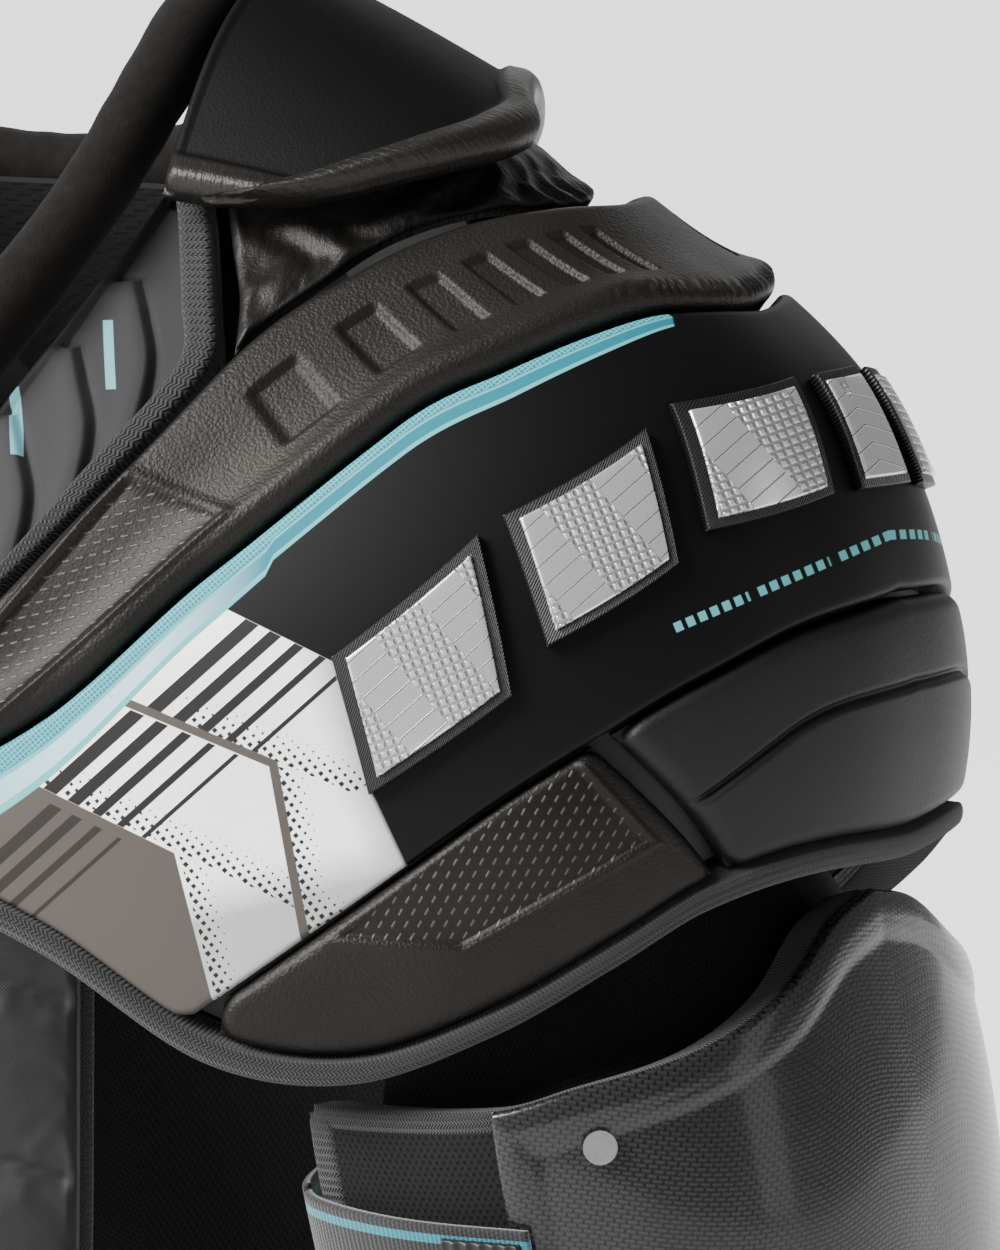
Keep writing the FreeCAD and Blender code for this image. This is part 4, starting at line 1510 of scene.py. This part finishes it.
def chest_seams(g):
    """The distance to the nearest sewn channel of a chest or back pad: slanting rows and one upright seam."""
    row = np.abs(np.mod(g["v"] + 0.35 * g["u"] + 150, 44) - 22) * 0.94
    return np.minimum(row, np.abs(g["u"] - 62 - 0.08 * (g["v"] + 250)))


def flap_seams(g):
    return np.abs(np.mod(g["u"] + 18, 36) - 18)


def sewn(seams, depth):
    return lambda g: -depth * ridge(seams(g), 0, 1.5) - 0.5 * depth * ridge(seams(g), 0, 5.0)


def make_torso():
    liner_top = smooth([(0, -128), (0.4, -112), (0.8, -96), (1, -94)])
    pad_top = smooth([(0, -142), (0.5, -126), (1, -118)])
    for name, face, flap in (("chest", chest_face, "belly"), ("back", back_face, "kidney")):
        region = whole_width(liner_top, -372, 0)
        piece = panel(f"{name}_liner_mesh", torso, face, region, *HEIGHTS["liner"], MESH_MAT, (150, 120), 1.4)
        settle(piece, "vest", [f"{name}_liner"])
        region = half_width(5, pad_top, -370, 2)
        piece = panel(
            f"left_{name}_quilt",
            torso,
            face,
            region,
            *HEIGHTS["quilt"],
            LYCRA_MAT,
            (46, 110),
            3.0,
            sewn(chest_seams, 3.0),
        )
        swell(piece, firm(piece, chest_seams), 1.6, 4.0, 0.03)
        refine(piece)
        settle_pair(piece, "vest", ["{}_" + name + "_pad"])
        region = whole_width(flat(-383.0), -446, 3)
        piece = panel(
            f"{flap}_flap_quilt",
            torso,
            face,
            region,
            *HEIGHTS["flap"],
            LYCRA_MAT,
            (90, 26),
            3.0,
            sewn(flap_seams, 3.0),
        )
        swell(piece, firm(piece, flap_seams), 1.6, 4.0, 0.03)
        refine(piece)
        settle(piece, f"{flap}_flap", [f"{flap}_flap"])
        make_chest_tapes(name, face, flap)
        make_flap_hinge(face, flap, -100 if name == "chest" else 100)


def make_flap_hinge(face, flap, depth):
    """The cloth that joins a flap to the liner above it."""
    region = whole_width(flat(-366.0), -390, 8)
    piece = panel(f"{flap}_flap_hinge", torso, face, region, *HEIGHTS["flap_hinge"], LYCRA_MAT, (90, 24), 0.9)
    settle(piece, ("vest", f"{flap}_flap"), (), [(0, depth, -371), (0, depth, -384)])


def make_chest_tapes(name, face, flap):
    """The tape sewn round the flap's edge, and down each side of the chest and back."""

    def side_edge(s, w):
        z = -100 + (-371 + 100) * w
        return chest_width(z) - 5.5 + 6.0 * s, z

    piece = panel(
        f"left_{name}_side_tape",
        torso,
        face,
        side_edge,
        *HEIGHTS["side_tape"],
        BINDING_MAT,
        (8, 150),
        2.0,
        foot=0.5,
    )
    settle_pair(piece, "vest", ())

    def foot_edge(s, w):
        z = -440.5 - 6.0 * w
        return (2 * s - 1) * (chest_width(z) - 3), z

    piece = panel(
        f"{flap}_flap_tape",
        torso,
        face,
        foot_edge,
        *HEIGHTS["flap_tape"],
        BINDING_MAT,
        (150, 8),
        2.6,
        foot=0.5,
    )
    settle(piece, f"{flap}_flap", ())


STERNUM = [(-300, 18), (-250, 40), (-190, 44), (-168, 30)]
SPINE = [(-334, 22), (-300, 30), (-200, 34), (-160, 26)]


def make_plates():
    """The hard guards over the breastbone and the spine, with a raised rim and cross ribs."""
    for name, face, shape in (("sternum", chest_face, STERNUM), ("spine", back_face, SPINE)):
        half = smooth(shape)
        foot, top = shape[0][0], shape[-1][0]

        def region(s, w, half=half, top=top, foot=foot):
            z = top + (foot - top) * w
            return (2 * s - 1) * half(z), z

        def relief(g, top=top, foot=foot):
            field = step_up(from_edge(g), 7, 2)
            vee = np.mod(g["v"] + 0.5 * np.abs(g["u"]), 15) - 7.5
            return 0.2 - 1.3 * field + 1.1 * field * ridge(vee, 0, 2.0)

        piece = panel(
            f"{name}_guard_shell", torso, face, region, *HEIGHTS["guard"], CARBON_MAT, (110, 160), 1.6, relief
        )
        settle(piece, f"{name}_guard", [f"{name}_plate"])


# ---------------------------------------------------------------- upper-arm guards
guard_top = even(smooth([(0, -179), (12, -184), (25, -197), (40, -207), (60, -215), (74, -221), (112, -226)]))
guard_foot = even(smooth([(0, -322), (60, -316), (110, -300)]))


def make_arm_guards():
    def rimmed(g):
        edge = from_edge(g)
        return 0.5 * ridge(edge, 5, 3) - 0.7 * step_up(edge, 11, 3)

    plate = between(-74, 74, guard_top, shifted(guard_foot, 4))
    piece = panel(
        "left_arm_guard_shell",
        arm,
        arm.around,
        plate,
        *HEIGHTS["arm_guard"],
        CARBON_MAT,
        (170, 100),
        1.4,
        rimmed,
    )
    settle_pair(piece, "{}_arm", ["{}_arm_guard"])

    pad = between(-110, 110, shifted(guard_top, -2), guard_foot)
    piece = panel("left_arm_pad_mesh", arm, arm.around, pad, *HEIGHTS["arm_pad"], MESH_MAT, (220, 80), 3.0)
    settle_pair(piece, "{}_arm", ["{}_arm_pad"])
    for name, start in (("front", -111), ("back", 105)):
        edge = between(start, start + 6, shifted(guard_top, -1.6), shifted(guard_foot, -0.4))
        piece = panel(
            f"left_arm_pad_{name}_tape",
            arm,
            arm.around,
            edge,
            *HEIGHTS["arm_side_tape"],
            BINDING_MAT,
            (8, 60),
            2.6,
            foot=0.5,
        )
        settle_pair(piece, "{}_arm", ())
    edge = between(-110, 110, shifted(guard_top, 0.4), shifted(guard_top, -5.6))
    piece = panel(
        "left_arm_pad_top_tape",
        arm,
        arm.around,
        edge,
        *HEIGHTS["arm_top_tape"],
        BINDING_MAT,
        (220, 8),
        2.6,
        foot=0.5,
    )
    settle_pair(piece, "{}_arm", ())

    def leaning(height):
        return lambda g: -13.8 - 16 * (1 - g["w"]) + height

    cuff = between(-104, 104, shifted(guard_top, 34), shifted(guard_top, -16))
    piece = panel(
        "left_arm_cuff_cloth", arm, arm.around, cuff, leaning(-4), leaning(0), MESH_MAT, (200, 30), 1.8
    )
    settle_pair(piece, ("{}_cap", "{}_arm"), ["{}_arm_cuff"], [(255, 0, -150), (262, 0, -190)])


# The arm strap's outer face from above: the share of the way along it, and X and Y from the arm's middle.
STRAP_LINE = [
    (0, -35, 91),
    (0.08, -44, 78),
    (0.2, -50, 46),
    (0.35, -52, 0),
    (0.5, -50, -46),
    (0.62, -42, -81),
    (0.7, -30, -98),
    (0.82, -2, -107),
    (1, 33, -103),
]
strap_across = smooth([(k, x) for k, x, y in STRAP_LINE])
strap_depth = smooth([(k, y) for k, x, y in STRAP_LINE])
STRAP_Z = -262


def strap_path(share, z):
    share, z = np.broadcast_arrays(share, z)
    deep = strap_depth(share / 100) * arm.depth(z) / arm.depth(STRAP_Z)
    return stack(arm.middle(z) + strap_across(share / 100), deep, z)


def make_arm_straps():
    parts = ("arm_strap", 0.8, 65.6, 16, "elastic"), ("arm_strap_end", 66.4, 99, 15, "hook_tape")
    for name, start, stop, half, slot in parts:
        region = between(start, stop, flat(STRAP_Z + half), flat(STRAP_Z - half))
        piece = panel(
            f"left_{name}_band",
            arm,
            strap_path,
            region,
            *HEIGHTS["arm_strap"],
            ARM_ELASTIC_MAT,
            (120, 20),
            0.9,
        )
        body = "{}_arm_strap_end" if name == "arm_strap_end" else "{}_arm"
        settle_pair(piece, body, ["{}_" + name])
    region = between(88, 98, flat(STRAP_Z + 12), flat(STRAP_Z - 12))
    piece = panel(
        "left_arm_strap_tab",
        arm,
        strap_path,
        region,
        *HEIGHTS["arm_strap_tab"],
        PLASTIC_MAT,
        (30, 30),
        0.8,
        grip,
    )
    settle_pair(piece, "{}_arm_strap_end", ())


def grip(g):
    return 0.35 * np.cos(g["across"] * 2 * math.pi / 3.2)


# ---------------------------------------------------------------- side straps, patches and hanging loop
PAD_HIGH = 13.0
EYE_TOP = PAD_HIGH + 2 * (2 + 1.4) + 0.3 + 1
RING_INNER, RING_OUTER = 52, 44
SIDE_Z, SIDE_HALF = -348, 18
EYE_RADIUS = 3.7


def eye(name, angle, material):
    """The end of a strap sewn round a ring's bar."""
    base = torso.around(np.array([angle]), np.array([float(SIDE_Z)]))[0]
    normal = torso.normal(torso.around, np.array([angle]), np.array([float(SIDE_Z)]))[0]
    place = base + normal * (PAD_HIGH + 2 + 1.4 + 1)
    heights = np.linspace(-SIDE_HALF, SIDE_HALF, 9)
    bar = [(place[0], place[1], SIDE_Z + h) for h in heights]
    return tube(name, bar, EYE_RADIUS, material, sides=24, up=(1, 0, 0))


def make_side_straps():
    rise = smooth([(0, EYE_TOP - 2.4), (0.12, PAD_HIGH + 3), (1, PAD_HIGH + 2.2)])
    tab_rise = smooth([(0, PAD_HIGH + 0.3), (0.3, PAD_HIGH + 0.5), (1, EYE_TOP - 1.4)])

    def strip(name, start, stop, height, thick, material, cells, half=SIDE_HALF):
        region = between(start, stop, flat(SIDE_Z + half), flat(SIDE_Z - half))

        def low(g):
            return height(g["s"])

        def high(g):
            return low(g) + thick

        return panel(name, torso, torso.around, region, low, high, material, cells, 0.8)

    strap = strip("left_side_strap_strip", RING_OUTER - 1.4, -72, rise, 2.4, ELASTIC_MAT, (200, 24))
    strap = join("left_side_strap_band", [strap, eye("left_side_eye", RING_OUTER, ELASTIC_MAT)])
    settle_pair(strap, "{}_side_strap", ["{}_side_strap"])
    tab = strip("left_ring_tab_strip", 68, RING_INNER + 1.2, tab_rise, 1.4, WEBBING_MAT, (40, 24))
    tab = join("left_ring_tab", [tab, eye("left_tab_eye", RING_INNER, WEBBING_MAT)])
    settle_pair(tab, "vest", ["ring_tabs"])
    stitched = strip(
        "left_strap_end_patch", -58, -71, lambda s: rise(s * 0 + 1) + 2.2, 1.1, HOOK_MAT, (30, 30), 15
    )
    settle_pair(stitched, "{}_side_strap", ())
    patch = between(52, 86, flat(SIDE_Z + 20.0), flat(SIDE_Z - 20.0))
    patch = panel(
        "left_hook_patch", torso, chest_face, patch, PAD_HIGH + 0.3, PAD_HIGH + 1.6, HOOK_MAT, (50, 50), 0.6
    )
    settle_pair(patch, "vest", ["strap_patches"])


def make_hang_loop():
    """A strip of webbing behind the neck, bowed out from the collar."""
    across = np.linspace(-28, 28, 81)
    bow = smooth([(-28, 0), (-18, 12), (0, 15), (18, 12), (28, 0)])(across)
    points, uvs = [], []
    for depth in (1.5, 0.1):
        for z in np.linspace(-37.8, -18.2, 13):
            points.append(np.stack([across, 78 + bow + depth, np.full_like(across, z)], -1))
            uvs.append(np.stack([across, np.full_like(across, z)], -1))
    cols, rows = len(across), 13
    outer = np.arange(rows * cols).reshape(rows, cols)
    inner = outer + rows * cols

    def faces(a):
        return np.stack([a[:-1, :-1], a[:-1, 1:], a[1:, 1:], a[1:, :-1]], -1).reshape(-1, 4)

    rim_line = np.concatenate([outer[0, :], outer[1:, -1], outer[-1, -2::-1], outer[-2:0:-1, 0]])
    after = np.roll(rim_line, -1)
    walls = np.stack([rim_line, rim_line + rows * cols, after + rows * cols, after], -1)
    quads = np.concatenate([faces(outer)[:, ::-1], faces(inner), walls])
    uv = np.concatenate(uvs)
    piece = make_mesh(
        "hang_loop_strip", np.concatenate(points), quads, {"mm": uv, "form": uv, "plan": uv}, WEBBING_MAT
    )
    settle(piece, "vest", ["hang_loop"])


make_caps()
make_badges()
make_yoke()
make_gusset()
make_epaulet()
make_epaulet_hinge()
make_upper_pads()
make_neck_lining()
make_collar()
make_torso()
make_plates()
make_arm_guards()
make_arm_straps()
make_side_straps()
make_hang_loop()


# ---------------------------------------------------------------- CAD nodes that are shown
SHOWN = {"cap_shell": PLASTIC_MAT, "rivets": STEEL_MAT, "strap_rings": STEEL_MAT}
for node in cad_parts.values():
    if not node.hide_render:
        node.data.materials.clear()
        node.data.materials.append(next(material for key, material in SHOWN.items() if key in node.name))


# ---------------------------------------------------------------- camera, floor and light
TARGET = (0.200, -0.048, -0.115)
DISTANCE, TURN, RISE = 1.6, math.radians(30), math.radians(8)
VIEW_HEIGHT = 0.2976


def look_at(thing, place, target):
    thing.location = place
    thing.rotation_mode = "QUATERNION"
    thing.rotation_quaternion = Vector([a - b for a, b in zip(place, target)]).to_track_quat("Z", "Y")


def put(name, data):
    thing = bpy.data.objects.new(name, data)
    bpy.context.scene.collection.objects.link(thing)
    return thing


camera = put("camera", bpy.data.cameras.new("camera"))
camera.data.sensor_width = 36
camera.data.lens = 36 * DISTANCE / VIEW_HEIGHT
away = (math.sin(TURN) * math.cos(RISE), -math.cos(TURN) * math.cos(RISE), math.sin(RISE))
look_at(camera, [t + DISTANCE * a for t, a in zip(TARGET, away)], TARGET)
bpy.context.scene.camera = camera


def soft_box(name, place, size, power):
    data = bpy.data.lights.new(name, "AREA")
    data.shape = "RECTANGLE"
    data.size, data.size_y = size
    data.energy = power
    lamp = put(name, data)
    look_at(lamp, place, (0.1, 0, -0.15))
    lamp.visible_camera = False


def sky_light(name, place, strength, spread):
    data = bpy.data.lights.new(name, "SUN")
    data.energy = strength
    data.angle = math.radians(spread)
    look_at(put(name, data), place, (0, 0, 0))


sky_light("key", (-0.67, -0.85, 0.8), 10.5, 35)
soft_box("front_left", (-0.95, -1.05, 0.25), (0.6, 0.8), 12)
soft_box("right_edge", (1.6, 0.2, 0.25), (0.3, 1.0), 1.5)
soft_box("behind", (-0.3, 1.5, 0.7), (1.4, 0.7), 3)

world = bpy.data.worlds.new("studio")
bpy.context.scene.world = world
world.use_nodes = True
backdrop = world.node_tree.nodes["Background"]
backdrop.inputs[0].default_value = (1, 1, 1, 1)
backdrop.inputs[1].default_value = 0.3

FLOOR_REACH = 30.0
floor_z = cad_box[0].z - 0.0005
floor_mesh = bpy.data.meshes.new("floor")
corners = [
    (-FLOOR_REACH, -FLOOR_REACH),
    (FLOOR_REACH, -FLOOR_REACH),
    (FLOOR_REACH, FLOOR_REACH),
    (-FLOOR_REACH, FLOOR_REACH),
]
floor_mesh.from_pydata([(x, y, floor_z) for x, y in corners], [], [(0, 1, 2, 3)])
floor_mesh.materials.append(Paint("floor_paint").set(Base_Color=(0.95, 0.95, 0.95), Roughness=0.9).material)
put("floor", floor_mesh)
